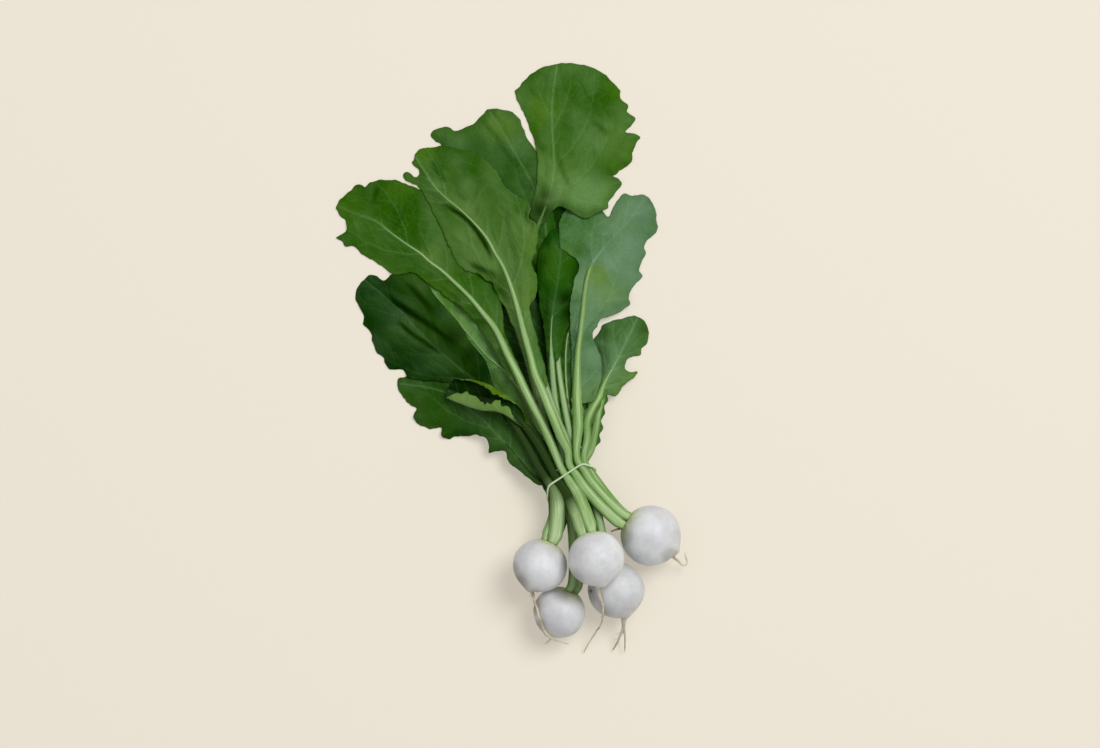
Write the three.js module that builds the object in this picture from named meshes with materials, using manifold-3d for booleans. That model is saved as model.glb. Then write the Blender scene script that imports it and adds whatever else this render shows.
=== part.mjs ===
// A tied bunch of five white salad turnips with their leaves, lying on a table.
// Millimetres, +Z up, origin at the middle of the underside of the bounding box.
// Plan positions below are in plan units ("u"), U millimetres each, y running towards the roots.
import * as THREE from 'three';
import { mergeVertices } from 'three/addons/utils/BufferGeometryUtils.js';
import Module from 'manifold-3d';

const wasm = await Module();
wasm.setup();

// ---- driving dimensions -------------------------------------------------
const U = 0.88;              // mm to one plan unit
const PLAN_X = 512;          // plan unit at x = 0
const PLAN_Y = 362;          // plan unit at y = 0
const STALK_R = 3.6;         // radius of a leaf stalk where the tie holds it
const STALK_R_FREE = 3.0;    // radius of a leaf stalk where the blade begins
const RIB_R = 1.35;          // half thickness of a midrib along the blade
const BLADE_H = 0.5;         // half thickness of a blade
const LAYER_GAP = 2.2;       // clear height between leaves that lie on each other
const TOUCH_GAP = 0.35;      // clearance where a stalk meets its root
const TIE_Z = 25.0;          // height of the middle of the tie
const TIE_ROW = 7.1;         // height between rows of stalks in the tie
const TIE_LEAN = 0.62;       // how far the tie leans towards the leaves per mm of height
const TIE_BOW = 4.0;         // how far the tie bows towards the leaves over the top of the bunch
const TIE_R = 0.9;           // radius of the tie's cord
const FLAT = 0.3;            // depth of the flat spot that a resting root stands on
const GRID = 1.0;            // mm, cell of the height map that leaves are laid on
const STATIONS = 25;         // rings along a leaf
const TIE_MID = [571.5, 484];
const TIE_ACROSS = new THREE.Vector2(0.837, 0.548).normalize();
const TIE_ALONG = new THREE.Vector2(-TIE_ACROSS.y, TIE_ACROSS.x);   // towards the leaves

const plan = (p) => new THREE.Vector2((p[0] - PLAN_X) * U, (PLAN_Y - p[1]) * U);

// ---- roots --------------------------------------------------------------
// mid: centre in plan units, z: height of the centre, r: radius, up: direction of the crown
const ROOTS = {
  turnip_left: { mid: [540, 566], z: 40.2, r: 24.2, squash: 0.95, up: [0.40, 0.90, -0.12],
    tails: [{ r: 1.7, pts: [[531, 590, 29], [534, 600, 36], [537.5, 612, 40.6], [541.5, 625, 39.6], [546.5, 634.5, 35.5], [555, 641, 28], [563, 643.5, 19], [569, 645, 13]] }] },
  turnip_centre: { mid: [596.5, 559], z: 63.9, r: 24.9, squash: 0.96, up: [-0.25, 0.93, -0.26],
    tails: [{ r: 1.9, pts: [[598, 588, 56], [600, 597, 50], [602.6, 606, 45.6], [603.5, 614, 40], [602, 623, 29], [597.6, 631, 19], [592, 639, 11], [584, 653, 3.2]] }] },
  turnip_right: { mid: [651, 536], z: 26.8, r: 27.0, squash: 0.97, up: [-0.863, 0.506, 0.02], flat: true,
    tails: [{ r: 1.8, pts: [[674, 557, 24], [679, 562, 20], [684.5, 566, 17], [688, 564, 15], [687, 558, 14], [685, 553, 13]] }] },
  turnip_lower_left: { mid: [559.6, 613], z: 23.3, r: 23.3, squash: 0.96, up: [0.45, 0.86, 0.10], flat: true,
    tails: [{ r: 1.6, pts: [[552, 637, 14], [549, 642, 10], [545, 645, 5.5]] }] },
  turnip_lower_right: { mid: [616.3, 590.7], z: 25.0, r: 25.1, squash: 0.97, up: [-0.36, 0.93, 0.02], flat: true,
    tails: [{ r: 2.2, pts: [[624, 620, 22], [623.6, 629, 17], [620, 638, 11], [613.4, 651, 3.5]] },
      { r: 1.5, pts: [[623.6, 624, 20], [625.6, 638, 12], [625, 653, 4.5]] }] },
};

// radius against height along the root's own axis, in root radii, crown first
const ROOT_PROFILE = [[0, 0.925], [0.2, 0.93], [0.34, 0.925], [0.47, 0.875], [0.63, 0.775], [0.785, 0.62], [0.905, 0.42],
  [0.975, 0.2], [1.0, -0.03], [0.975, -0.26], [0.89, -0.48], [0.75, -0.67], [0.57, -0.83], [0.37, -0.95], [0.2, -1.03], [0.09, -1.09], [0, -1.12]];

const rootFrame = (r) => {
  const m = plan(r.mid);
  const c = new THREE.Vector3(m.x, m.y, r.z);
  const up = new THREE.Vector3(...r.up).normalize();
  const right = new THREE.Vector3(up.y, -up.x, 0).normalize();
  const over = new THREE.Vector3().crossVectors(right, up).normalize();
  return { c, up, right, over };
};

// radius of the root's skin at a given distance along its axis, 0 past either end
const rootRadiusAt = (r, a) => {
  const p = ROOT_PROFILE.map(([x, y]) => [x * r.r, y * r.r * r.squash]);
  for (let i = 3; i < p.length; i++) {
    const [x0, y0] = p[i - 1];
    const [x1, y1] = p[i];
    if (a <= y0 && a >= y1) return x0 + (x1 - x0) * (y0 - a) / (y0 - y1);
  }
  return 0;
};
const insideRoot = (r, f, p, grow) => {
  const d = p.clone().sub(f.c);
  const a = d.dot(f.up);
  const rad = d.sub(f.up.clone().multiplyScalar(a)).length();
  const crown = 0.93 * r.r * r.squash;
  if (a > crown + grow) return false;
  const at = a > crown - 0.01 ? 0.36 * r.r : rootRadiusAt(r, a);
  return rad < at + grow * 1.05;
};

// ---- leaves -------------------------------------------------------------
// rib: midrib from the tip down to the tie, edge: outline of the blade, slot: place in the tie
// (across, row), root and seat: which root it grew on and where on its crown, lift: height (mm)
// that the edge is held above the midrib, r: stalk radius if thinner than STALK_R,
// hold: how far (mm) past the tie the rib stays up by its own stiffness, droop: fall of the edges (mm).
const LEAVES = [
  { name: 'leaf_under_left', lean: -3, hold: 200, droop: 4, slot: [-16, -1], root: 'turnip_left', seat: [3.2, -4.2], r: 3.2,
    rib: [[476, 238], [488, 262], [498, 285], [508, 308], [517, 332], [525, 355], [532, 378], [540, 405], [548, 432], [553, 456]],
    edge: [[470, 235], [485, 228], [500, 235], [512, 250], [520, 270], [527, 295], [531, 320], [534, 345], [538, 368], [542, 390], [543, 404], [537, 408], [529, 396], [519, 378], [507, 352], [497, 328], [487, 312], [478, 295], [470, 278], [464, 260], [463, 245]] },
  { name: 'leaf_under_middle', hold: 240, droop: 4, slot: [-8, -1], root: 'turnip_lower_left', seat: [3.6, -3.6], r: 3.3,
    rib: [[520, 150], [528, 180], [536, 210], [542, 245], [545, 285], [547, 325], [550, 365], [554, 405], [559, 440], [562, 462]],
    edge: [[512, 148], [528, 147], [540, 160], [549, 180], [556, 205], [561, 235], [563, 265], [562, 295], [561, 325], [562, 350], [564, 375], [568, 400], [568, 420], [560, 425], [550, 410], [540, 388], [531, 358], [525, 328], [521, 300], [518, 270], [515, 240], [510, 210], [506, 180], [506, 160]] },
  { name: 'leaf_slit', hold: 230, droop: 3, slot: [0, -1], root: 'turnip_lower_right', seat: [-4, -4.2], r: 3.3,
    rib: [[550, 190], [552, 215], [551, 240], [550, 270], [551, 300], [554, 340], [559, 380], [565, 415], [570, 445], [570, 462]],
    edge: [[542, 190], [556, 185], [566, 190], [572, 205], [574, 225], [571, 250], [567, 275], [564, 300], [564, 322], [568, 345], [571, 370], [575, 395], [577, 415], [569, 422], [561, 405], [554, 380], [549, 358], [544, 338], [541, 320], [537, 300], [535, 275], [535, 250], [537, 225], [539, 203]] },
  { name: 'leaf_under_right', hold: 200, droop: 3, slot: [8, -1], root: 'turnip_lower_right', seat: [4, -4.4], r: 3.0,
    rib: [[600, 224], [594, 255], [587, 285], [578, 314], [569, 331], [566, 350], [566, 380], [569, 410], [574.5, 435], [578, 455]],
    edge: [[592, 220], [603, 220], [611, 229], [612, 245], [607, 265], [601, 285], [593, 305], [587, 320], [585, 340], [587, 360], [589, 380], [592, 402], [593, 420], [590, 438], [582, 446], [575, 440], [569, 420], [562, 385], [560, 360], [562, 335], [567, 315], [569, 300], [571, 280], [575, 260], [581, 240], [586, 228]] },
  { name: 'leaf_edge_right', hold: 150, droop: 2, slot: [16, -1], root: 'turnip_right', seat: [-4, -4.4], r: 3.1,
    rib: [[628, 333], [620, 350], [611, 370], [604, 390], [599, 410], [595, 432], [591, 450]],
    edge: [[622, 330], [631, 330], [638, 338], [636, 346], [627, 352], [621, 362], [615, 374], [609, 386], [604, 397], [598, 396], [600, 384], [604, 370], [607, 356], [610, 342], [614, 335]] },
  { name: 'leaf_behind_left', hold: 190, droop: 4, slot: [-12, 0], root: 'turnip_lower_left', seat: [-2, 3.6], r: 3.3,
    rib: [[423, 278], [437, 297], [452, 316], [468, 334], [486, 355], [505, 371], [519, 388], [532, 412], [543, 440], [550, 462]],
    edge: [[419, 276], [430, 274], [440, 277], [451, 283], [462, 291], [473, 301], [484, 312], [493, 325], [501, 340], [508, 355], [516, 370], [527, 390], [537, 406], [541, 435], [522, 417], [507, 400], [488, 381], [476, 372], [464, 362], [453, 350], [443, 335], [433, 318], [424, 300], [418, 286]] },
  { name: 'leaf_low_left_small', lean: -4.6, hold: 170, droop: 3, slot: [-20, 0], root: 'turnip_left', seat: [-4.4, -0.5], r: 3.2,
    rib: [[400, 384], [418, 386], [437, 390], [457, 397], [469, 409], [483, 420], [495, 433], [508, 446], [520, 460], [530, 472], [538, 484]],
    edge: [[402, 378], [398, 379], [397, 386], [400.5, 395], [409.5, 405], [416, 408], [413, 417], [417.5, 424], [425, 427.5], [430, 429], [441, 428], [441, 435.5], [448, 439], [456, 437], [465, 437], [478, 435.5], [487, 440], [489, 446], [488.5, 454], [496, 452], [505, 452], [507, 459], [514, 467], [520, 471], [528, 478], [541, 485], [549, 473], [549, 455], [541, 436], [529, 421], [517, 408], [503, 398], [487, 390], [470, 381], [454, 377.5], [440, 374.5], [425, 375], [412, 375]] },
  { name: 'leaf_low_left', lean: -4.2, hold: 220, droop: 5, slot: [-16, 1], root: 'turnip_left', seat: [1.6, 4.4],
    rib: [[364, 280], [371, 286], [380, 293], [391, 303], [403, 314], [415, 328], [429, 342], [446, 357], [461, 370], [478, 384], [495, 400], [511, 420], [526, 444], [538, 466], [546, 480]],
    edge: [[368, 274], [373, 274], [379, 277], [383, 280], [390, 275], [402, 270], [412, 271], [420, 276], [429, 288], [438, 300], [447, 310], [456, 320], [464, 332], [471, 344], [480, 354], [486, 363], [490, 375], [494, 388], [488, 396], [478, 392], [470, 387], [458, 383], [440, 381.5], [424, 380.5], [408, 379], [403, 370], [396, 369], [389, 369], [384.5, 364], [382, 357], [375, 352], [371, 340], [370, 332], [362, 324.5], [363, 316], [359, 307.5], [355, 299], [356, 288], [361, 281]] },
  { name: 'leaf_tip_middle', hold: 290, droop: 5, slot: [12, 0], root: 'turnip_lower_right', seat: [3.6, 2.2], r: 3.1,
    rib: [[490, 112], [499, 125], [507, 139], [518, 158], [530, 179], [537, 194], [543, 212], [547, 240], [550, 270], [553, 300], [556, 340], [560, 380], [566, 415], [572, 445], [574, 460]],
    edge: [[431, 134], [436, 128], [444, 126], [450, 127], [454, 130], [466, 126], [474, 123.5], [479, 118], [485, 110.5], [489, 108], [500, 109], [510, 111], [519, 118], [523, 127], [529, 140], [535, 148], [541, 160], [545, 175], [549, 195], [554, 215], [558, 240], [559, 262], [558, 285], [556, 305], [549, 306], [541, 298], [532, 280], [520, 262], [505, 245], [490, 228], [472, 210], [455, 190], [442, 170], [436, 155], [441, 144.5], [435, 140]] },
  { name: 'leaf_inner', hold: 210, droop: 4, slot: [-4, 0], root: 'turnip_centre', seat: [0, -5], r: 3.3,
    rib: [[561, 240], [560, 262], [557, 285], [553, 310], [551, 335], [552, 365], [555, 400], [560, 432], [563, 458]],
    edge: [[546, 236], [555, 228], [567, 225], [579, 230], [587, 242], [591, 258], [591, 276], [588, 292], [581, 305], [572, 318], [565, 334], [561, 350], [556, 362], [549, 358], [545, 342], [542, 322], [539, 303], [537, 282], [537, 262], [540, 247]] },
  { name: 'leaf_curled', slot: [-8, 1], root: 'turnip_centre', seat: [-6, 1.6], lift: [0, 10],
    rib: [[447, 390], [458, 394], [472, 397], [488, 400], [503, 406], [516, 416], [529, 431], [541, 449], [550, 466]],
    edge: [[448, 386], [455, 380], [463, 376], [472, 374], [481, 375], [492, 378], [503, 384], [511, 392], [517, 403], [523, 412], [528, 423], [523, 427], [514, 421], [503, 415], [490, 411], [475, 408], [462, 403], [452, 397]] },
  { name: 'leaf_low_right', hold: 170, droop: 3, slot: [20, 0], root: 'turnip_right', seat: [5, -4.2], r: 3.3,
    rib: [[637, 319], [631, 332], [625, 344], [618, 358], [611, 371], [604, 384], [599, 397], [592, 409], [587, 422], [587, 438], [591, 454]],
    edge: [[603, 324], [610, 321], [619, 319], [628, 316], [636, 316], [644, 320], [648, 329], [649, 336], [647, 344], [642, 348], [641, 355], [629, 358], [625, 369], [630, 372], [637.5, 372], [633, 378.5], [623, 386], [616, 395], [608, 395], [601, 398], [596, 395], [596, 385], [599, 366], [596, 350], [593, 342], [597, 335], [600, 329]] },
  { name: 'leaf_right', hold: 260, droop: 6, slot: [16, 1], root: 'turnip_right', seat: [4.1, 4], r: 3.4,
    rib: [[643, 200], [632, 216], [617, 233], [603, 249], [592, 264], [587, 279], [584.5, 295], [583, 311], [581, 329], [578, 352], [577, 380], [577, 402], [578, 425], [583, 450]],
    edge: [[608.6, 216], [614, 207], [619, 199], [625, 193], [633, 194.5], [643, 194], [650.5, 199], [656, 209], [657, 219.5], [657, 232], [650.5, 238], [645, 247], [646, 252], [642, 260], [640, 270], [643, 276], [633, 287], [629, 297], [631, 303], [625, 309], [614, 315.5], [601, 319], [596, 327], [593, 333], [596, 345], [600, 356], [601, 372], [599, 388], [594, 400], [585, 404], [575, 398], [571, 372], [571, 355], [570, 335], [570, 315], [571, 295], [574, 280], [579, 267], [576, 259], [568, 254], [560, 248], [559, 235], [560, 220], [566, 210], [575, 205], [585, 203], [600, 207]] },
  { name: 'leaf_tip_right', hold: 340, droop: 7, slot: [4, 0], root: 'turnip_lower_right', seat: [-4, 3.8], r: 2.6,
    rib: [[557, 65], [554, 85], [552, 105], [552, 122], [553, 141], [554, 160], [553, 178], [549, 196], [543, 213], [536, 230], [530, 250], [527, 272], [526, 295], [528, 318], [533, 342], [541, 370], [550, 398], [560, 424], [569, 447], [576, 462]],
    edge: [[516, 98], [526, 117], [529, 127], [535, 146], [538, 160], [537, 178], [535, 192], [531, 206], [530, 218], [536, 226], [545, 222], [552, 212], [559.5, 206], [566, 208], [573, 212], [583, 218], [592.5, 215], [601, 210], [608.6, 207], [609.5, 201], [616, 192], [621.5, 183], [617, 177.5], [610, 175], [616, 174], [620, 169.5], [632, 160], [632, 152], [636, 144.5], [641, 136], [632, 132], [626, 131], [632, 125], [636, 117], [627, 111], [628, 105], [621, 97], [620, 88], [612, 80], [604, 72], [592, 66], [578, 63], [564, 62], [552, 64], [540, 68], [529, 75], [520, 84], [514, 91]] },
  { name: 'leaf_left_big', hold: 300, droop: 9, slot: [0, 1], root: 'turnip_centre', seat: [2.4, 3.8],
    rib: [[338, 206], [352, 212], [364, 216], [376, 221], [387.5, 230], [398, 238], [408, 245], [420, 253], [430, 262], [441, 270], [453, 281], [469.5, 297], [482, 312], [494, 327], [502, 342], [507, 353], [516, 371], [525, 390], [533, 406], [541, 421], [548, 436], [555, 453], [562, 467]],
    edge: [[414, 187], [409, 185], [401, 181], [392, 179], [382, 179], [370.5, 181.5], [364, 187], [361, 185.5], [356, 185], [350, 189], [342, 196], [335, 205], [337, 212], [341, 217], [344, 219], [345, 231], [335, 237], [341, 241], [344, 247], [352, 246], [365, 256], [379, 265], [390, 274], [401, 274.5], [412.5, 273], [425, 281], [440, 293], [455, 303], [468, 314], [480, 328], [491, 345], [501, 361], [513, 380], [519, 372], [512, 352], [506, 335], [503, 318], [500, 300], [493, 285], [487, 268], [480, 250], [470, 232], [458, 215], [443, 200], [430, 192]] },
  { name: 'leaf_spine', hold: 290, droop: 8, slot: [8, 1], root: 'turnip_right', seat: [-4, 4.3],
    rib: [[415, 156], [424, 170], [433, 184], [443, 195], [462, 211], [478, 227], [488, 240], [495, 253], [502.5, 265.5], [509, 281], [514, 296], [518.6, 312], [523, 329], [527.5, 345], [531, 358], [535, 374], [541, 388], [548, 405], [555, 422], [561, 437], [568, 451], [575, 463]],
    edge: [[441, 146], [452, 147], [463, 149], [474, 152], [484, 158], [493, 168], [502, 181], [510, 191], [519, 196], [527, 200], [531, 208], [530, 217], [537, 224], [538, 236], [536, 250], [531, 262], [536, 274], [537, 288], [534, 299], [530, 306], [531, 318], [536, 332], [540, 350], [545, 368], [547, 385], [540, 390], [532, 374], [524, 352], [515, 330], [507, 312], [500, 300], [495, 290], [493, 282.5], [485, 280], [479, 274], [467, 271], [458, 263], [450, 250], [444, 236], [438, 222], [430, 206], [421, 190], [416, 184], [411, 183], [406, 180], [403, 175], [405, 172], [409, 173], [414, 177], [418, 176], [419, 169], [414, 165], [411, 161], [413, 159], [415, 153], [421, 148], [430, 147]] },
];

// ---- height map the leaves are laid on ----------------------------------
const MAP = { x0: -190, y0: -270, nx: 400, ny: 560 };
const top = new Float64Array(MAP.nx * MAP.ny);          // the table, z = 0

const rasterize = (a, b, c, za, zb, zc, visit) => {
  const minx = Math.max(0, Math.floor((Math.min(a.x, b.x, c.x) - MAP.x0) / GRID));
  const maxx = Math.min(MAP.nx - 1, Math.ceil((Math.max(a.x, b.x, c.x) - MAP.x0) / GRID));
  const miny = Math.max(0, Math.floor((Math.min(a.y, b.y, c.y) - MAP.y0) / GRID));
  const maxy = Math.min(MAP.ny - 1, Math.ceil((Math.max(a.y, b.y, c.y) - MAP.y0) / GRID));
  const det = (b.y - c.y) * (a.x - c.x) + (c.x - b.x) * (a.y - c.y);
  if (Math.abs(det) < 1e-9) return;
  for (let j = miny; j <= maxy; j++) {
    const y = MAP.y0 + (j + 0.5) * GRID;
    for (let i = minx; i <= maxx; i++) {
      const x = MAP.x0 + (i + 0.5) * GRID;
      const wa = ((b.y - c.y) * (x - c.x) + (c.x - b.x) * (y - c.y)) / det;
      const wb = ((c.y - a.y) * (x - c.x) + (a.x - c.x) * (y - c.y)) / det;
      const wc = 1 - wa - wb;
      if (wa < -1e-6 || wb < -1e-6 || wc < -1e-6) continue;
      visit(j * MAP.nx + i, wa * za + wb * zb + wc * zc, wa, wb, wc);
    }
  }
};

// ---- helpers ------------------------------------------------------------
const closedGeometry = (rings) => {
  // rings: arrays of points, all of one length, joined ring to ring and closed by a fan at each end
  const n = rings[0].length;
  const pos = [];
  for (const ring of rings) for (const p of ring) pos.push(p.x, p.y, p.z);
  const idx = [];
  for (let k = 0; k + 1 < rings.length; k++) {
    for (let i = 0; i < n; i++) {
      const a = k * n + i, b = k * n + (i + 1) % n, c = a + n, d = b + n;
      idx.push(a, b, d, a, d, c);
    }
  }
  for (const [k, flip] of [[0, true], [rings.length - 1, false]]) {
    // each end is closed by a strip between the upper and the lower half of the ring
    const o = k * n, h = n / 2;
    const tri = (a, b, c) => (flip ? idx.push(o + a, o + c, o + b) : idx.push(o + a, o + b, o + c));
    for (let i = 0; i < h - 1; i++) {
      const a = i, b = i + 1, c = n - 1 - i, d = n - 2 - i;
      tri(a, b, d);
      tri(a, d, c);
    }
  }
  const g = new THREE.BufferGeometry();
  g.setAttribute('position', new THREE.Float32BufferAttribute(pos, 3));
  g.setIndex(idx);
  // faces point out
  const p = g.attributes.position, v = [0, 1, 2].map(() => new THREE.Vector3());
  let vol = 0;
  for (let i = 0; i < idx.length; i += 3) {
    for (let j = 0; j < 3; j++) v[j].fromBufferAttribute(p, idx[i + j]);
    vol += v[0].dot(v[1].clone().cross(v[2])) / 6;
  }
  if (vol < 0) {
    for (let i = 0; i < idx.length; i += 3) [idx[i], idx[i + 1]] = [idx[i + 1], idx[i]];
    g.setIndex(idx);
  }
  return g;
};

const toManifold = (geometry) => {
  let g = geometry.clone();
  g.deleteAttribute('normal');
  g.deleteAttribute('uv');
  g = mergeVertices(g, 1e-4);
  return new wasm.Manifold(new wasm.Mesh({
    numProp: 3,
    vertProperties: new Float32Array(g.attributes.position.array),
    triVerts: new Uint32Array(g.index.array),
  }));
};

const fromManifold = (m) => {
  const mesh = m.getMesh();
  const n = mesh.vertProperties.length / mesh.numProp;
  const pos = new Float32Array(n * 3);
  for (let i = 0; i < n; i++) for (let j = 0; j < 3; j++) pos[3 * i + j] = mesh.vertProperties[mesh.numProp * i + j];
  const g = new THREE.BufferGeometry();
  g.setAttribute('position', new THREE.Float32BufferAttribute(pos, 3));
  g.setIndex(Array.from(mesh.triVerts));
  return g;
};

const group = new THREE.Group();
const addMesh = (name, geometry, material) => {
  const mesh = new THREE.Mesh(geometry, material);
  mesh.name = name;
  geometry.computeVertexNormals();
  group.add(mesh);
  return mesh;
};

// ---- build the roots ----------------------------------------------------
for (const [name, r] of Object.entries(ROOTS)) {
  const f = rootFrame(r);
  const profile = ROOT_PROFILE.map(([x, y]) => new THREE.Vector2(x * r.r, y * r.r * r.squash)).reverse();
  const lathe = new THREE.LatheGeometry(profile, 26);       // turns about +Y
  lathe.applyMatrix4(new THREE.Matrix4().makeBasis(f.right, f.up, f.over).setPosition(f.c));
  let solid = toManifold(lathe);
  const pole = f.c.clone().addScaledVector(f.up, -0.93 * r.r * r.squash);
  r.tails.forEach((tail, ti) => {
    const pts = tail.pts.map(([x, y, z]) => { const q = plan([x, y]); return new THREE.Vector3(q.x, q.y, z); });
    const curve = new THREE.CatmullRomCurve3(ti === 0 ? [pole, ...pts] : pts, false, 'centripetal');
    const N = 13, rings = [];
    for (let k = 0; k <= N; k++) {
      const t = k / N, p = curve.getPoint(t), d = curve.getTangent(t);
      const side = new THREE.Vector3(d.y, -d.x, 0).normalize();
      const lift = new THREE.Vector3().crossVectors(side, d).normalize();
      const fat = ti === 0 ? 1.1 * Math.pow(Math.max(0, 1 - t * 3), 1.5) * 1.6 : 0;
      const rad = tail.r * (1 - 0.62 * Math.pow(t, 0.8)) + fat;
      const ring = [];
      for (let i = 0; i < 6; i++) {
        const an = Math.PI - (i + 0.5) * Math.PI / 3;
        ring.push(p.clone().addScaledVector(side, rad * Math.cos(an)).addScaledVector(lift, rad * Math.sin(an)));
      }
      rings.push(ring);
    }
    solid = solid.add(toManifold(closedGeometry(rings)));
  });
  if (r.flat) {
    // the spot the root stands on, pressed flat at z = 0
    const slab = new THREE.BoxGeometry(90, 90, 20);
    slab.translate(f.c.x, f.c.y, -10);
    let low = 1e9;
    const g0 = fromManifold(solid).attributes.position;
    for (let i = 0; i < g0.count; i++) low = Math.min(low, g0.getZ(i));
    solid = solid.translate([0, 0, -low - FLAT]).subtract(toManifold(slab));
  }
  addMesh(name, fromManifold(solid), new THREE.MeshStandardMaterial({ color: 0xe4e2e4, roughness: 0.42, metalness: 0 }));
}

// ---- build the leaves ---------------------------------------------------
const edgeDistance = (poly, p, n) => {
  // distance from p along n to the outline
  let best = null;
  for (let i = 0; i < poly.length; i++) {
    const a = poly[i], b = poly[(i + 1) % poly.length];
    const ex = b.x - a.x, ey = b.y - a.y;
    const det = ex * n.y - ey * n.x;
    if (Math.abs(det) < 1e-12) continue;
    const t = (ex * (a.y - p.y) - ey * (a.x - p.x)) / det;
    const s = (n.x * (a.y - p.y) - n.y * (a.x - p.x)) / det;
    if (t > 0.2 && s >= 0 && s <= 1 && (best === null || t < best)) best = t;
  }
  return best;
};
const inPoly = (poly, p) => {
  let c = false;
  for (let i = 0, j = poly.length - 1; i < poly.length; j = i++) {
    const a = poly[i], b = poly[j];
    if ((a.y > p.y) !== (b.y > p.y) && p.x < (b.x - a.x) * (p.y - a.y) / (b.y - a.y) + a.x) c = !c;
  }
  return c;
};

const tieSlot = (u, row, along = 0) => {
  const m = plan(TIE_MID);
  const w = row * TIE_ROW;
  return new THREE.Vector3(
    m.x + TIE_ACROSS.x * u + TIE_ALONG.x * (along + w * TIE_LEAN),
    m.y + TIE_ACROSS.y * u + TIE_ALONG.y * (along + w * TIE_LEAN),
    TIE_Z + w);
};

const ACROSS = [-0.951, -0.588, 0, 0.588, 0.951];
const THICK = [0.309, 0.809, 1, 0.809, 0.309];

for (const leaf of LEAVES) {
  const r = ROOTS[leaf.root], f = rootFrame(r);
  const crown = 0.93 * r.r * r.squash;
  const seat = f.c.clone().addScaledVector(f.up, crown + 0.5)
    .addScaledVector(f.right, leaf.seat[0]).addScaledVector(f.over, leaf.seat[1]);
  const out = seat.clone().addScaledVector(f.up, 7);
  const [u, row] = leaf.slot;
  const rib = leaf.rib.map((p) => plan(p));
  const edge = leaf.edge.map((p) => plan(p));

  // centre line from the crown through the tie to the tip; z past the tie is set by laying it down
  const lean = leaf.lean ?? 0; // how far the stalk leans across the bunch below the tie
  const held = [seat, out, tieSlot(u + lean, row, -13), tieSlot(u, row, 0), tieSlot(u, row, 11)];
  const free = rib.slice().reverse().map((p) => new THREE.Vector3(p.x, p.y, 0));
  const tieEnd = held[4];
  // drop free points that lie closer to the tie than its last held point
  const ahead = free.filter((p) => (p.x - tieEnd.x) * TIE_ALONG.x + (p.y - tieEnd.y) * TIE_ALONG.y > 8);
  const zAt = (d) => { // height the stalk takes by its own stiffness, d mm past the tie
    const k = Math.min(1, Math.max(0, d / (leaf.hold ?? 150)));
    const s = k * k * (3 - 2 * k);
    return tieEnd.z * (1 - s) + 1.5 * s;
  };
  let run = 0, last = tieEnd;
  for (const p of ahead) {
    run += Math.hypot(p.x - last.x, p.y - last.y);
    p.z = zAt(run);
    last = p;
  }
  const curve = new THREE.CatmullRomCurve3([...held, ...ahead], false, 'centripetal');
  curve.arcLengthDivisions = 800;
  const total = curve.getLength();
  const lens = curve.getLengths(800);

  // where the tie is, as a fraction of the length
  let tieAt = 0, best = 1e9;
  for (let i = 0; i <= 800; i++) {
    const p = curve.getPoint(i / 800), d = p.distanceTo(tieEnd);
    if (d < best) { best = d; tieAt = lens[i] / total; }
  }
  // where the blade begins: the first point from the crown that lies inside the outline
  let bladeAt = 1;
  for (let i = 0; i <= 800; i++) {
    const p = curve.getPointAt(i / 800);
    if (i / 800 > tieAt && inPoly(edge, p)) { bladeAt = i / 800; break; }
  }
  const nStalk = Math.max(8, Math.round(STATIONS * 0.45)), nBlade = STATIONS - nStalk;
  const ts = [];
  for (let k = 0; k < nStalk; k++) ts.push(bladeAt * k / nStalk);
  for (let k = 0; k <= nBlade; k++) {
    const q = k / nBlade;
    ts.push(bladeAt + (1 - bladeAt) * (0.55 * q + 0.45 * Math.sin(q * Math.PI / 2)) * 0.995);
  }

  const P = [], H = [], Z = [], fixed = [], gap = [];
  ts.forEach((t, k) => {
    const p = curve.getPointAt(t), d = curve.getTangentAt(t);
    const flat = new THREE.Vector2(d.x, d.y).normalize();
    const n = new THREE.Vector2(flat.y, -flat.x);       // to the right when looking at the tip
    const grown = Math.min(1, Math.max(0, (t - tieAt) / Math.max(0.02, bladeAt - tieAt)));
    const thickAt = leaf.r ?? STALK_R;
    const rad = thickAt + (Math.min(thickAt, STALK_R_FREE) - thickAt) * grown;
    let off = ACROSS.map((a) => a * rad), thick = THICK.map((a) => a * rad);
    if (t > bladeAt) {
      const q = (t - bladeAt) / (1 - bladeAt);
      const wr = edgeDistance(edge, p, n), wl = edgeDistance(edge, p, n.clone().negate());
      const ease = Math.min(1, q / 0.12);
      const ribR = Math.max(BLADE_H * 1.1, STALK_R_FREE + (RIB_R - STALK_R_FREE) * Math.pow(q, 0.5));
      const right = Math.max(2.2, wr ?? 2.2), left = Math.max(2.2, wl ?? 2.2);
      const blade = [-left, -left * 0.5, 0, right * 0.5, right];
      off = off.map((o, i) => o * (1 - ease) + blade[i] * ease);
      const body = [BLADE_H, BLADE_H, ribR, BLADE_H, BLADE_H];
      thick = thick.map((h, i) => h * (1 - ease) + body[i] * ease);
    }
    P.push(off.map((o) => new THREE.Vector2(p.x + n.x * o, p.y + n.y * o)));
    H.push(thick);
    fixed.push(t <= tieAt + 1e-6);
    const spread = Math.min(1, Math.max(0, (t - tieAt) / (bladeAt - tieAt + 0.12)));
    gap.push(0.35 + (LAYER_GAP - 0.35) * spread * spread);
    const lift = leaf.lift ?? [0, 0];
    const q = Math.max(0, (t - bladeAt) / (1 - bladeAt));
    const rise = Math.sin(Math.min(1, q * 1.15) * Math.PI);
    Z.push([0, 1, 2, 3, 4].map((i) => {
      const s = Math.abs(i - 2) / 2;
      return Math.max(thick[i] + 0.02, p.z + ((i < 2 ? lift[0] : i > 2 ? lift[1] : 0) - (leaf.droop ?? 3)) * s * s * rise);
    }));
  });

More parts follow.
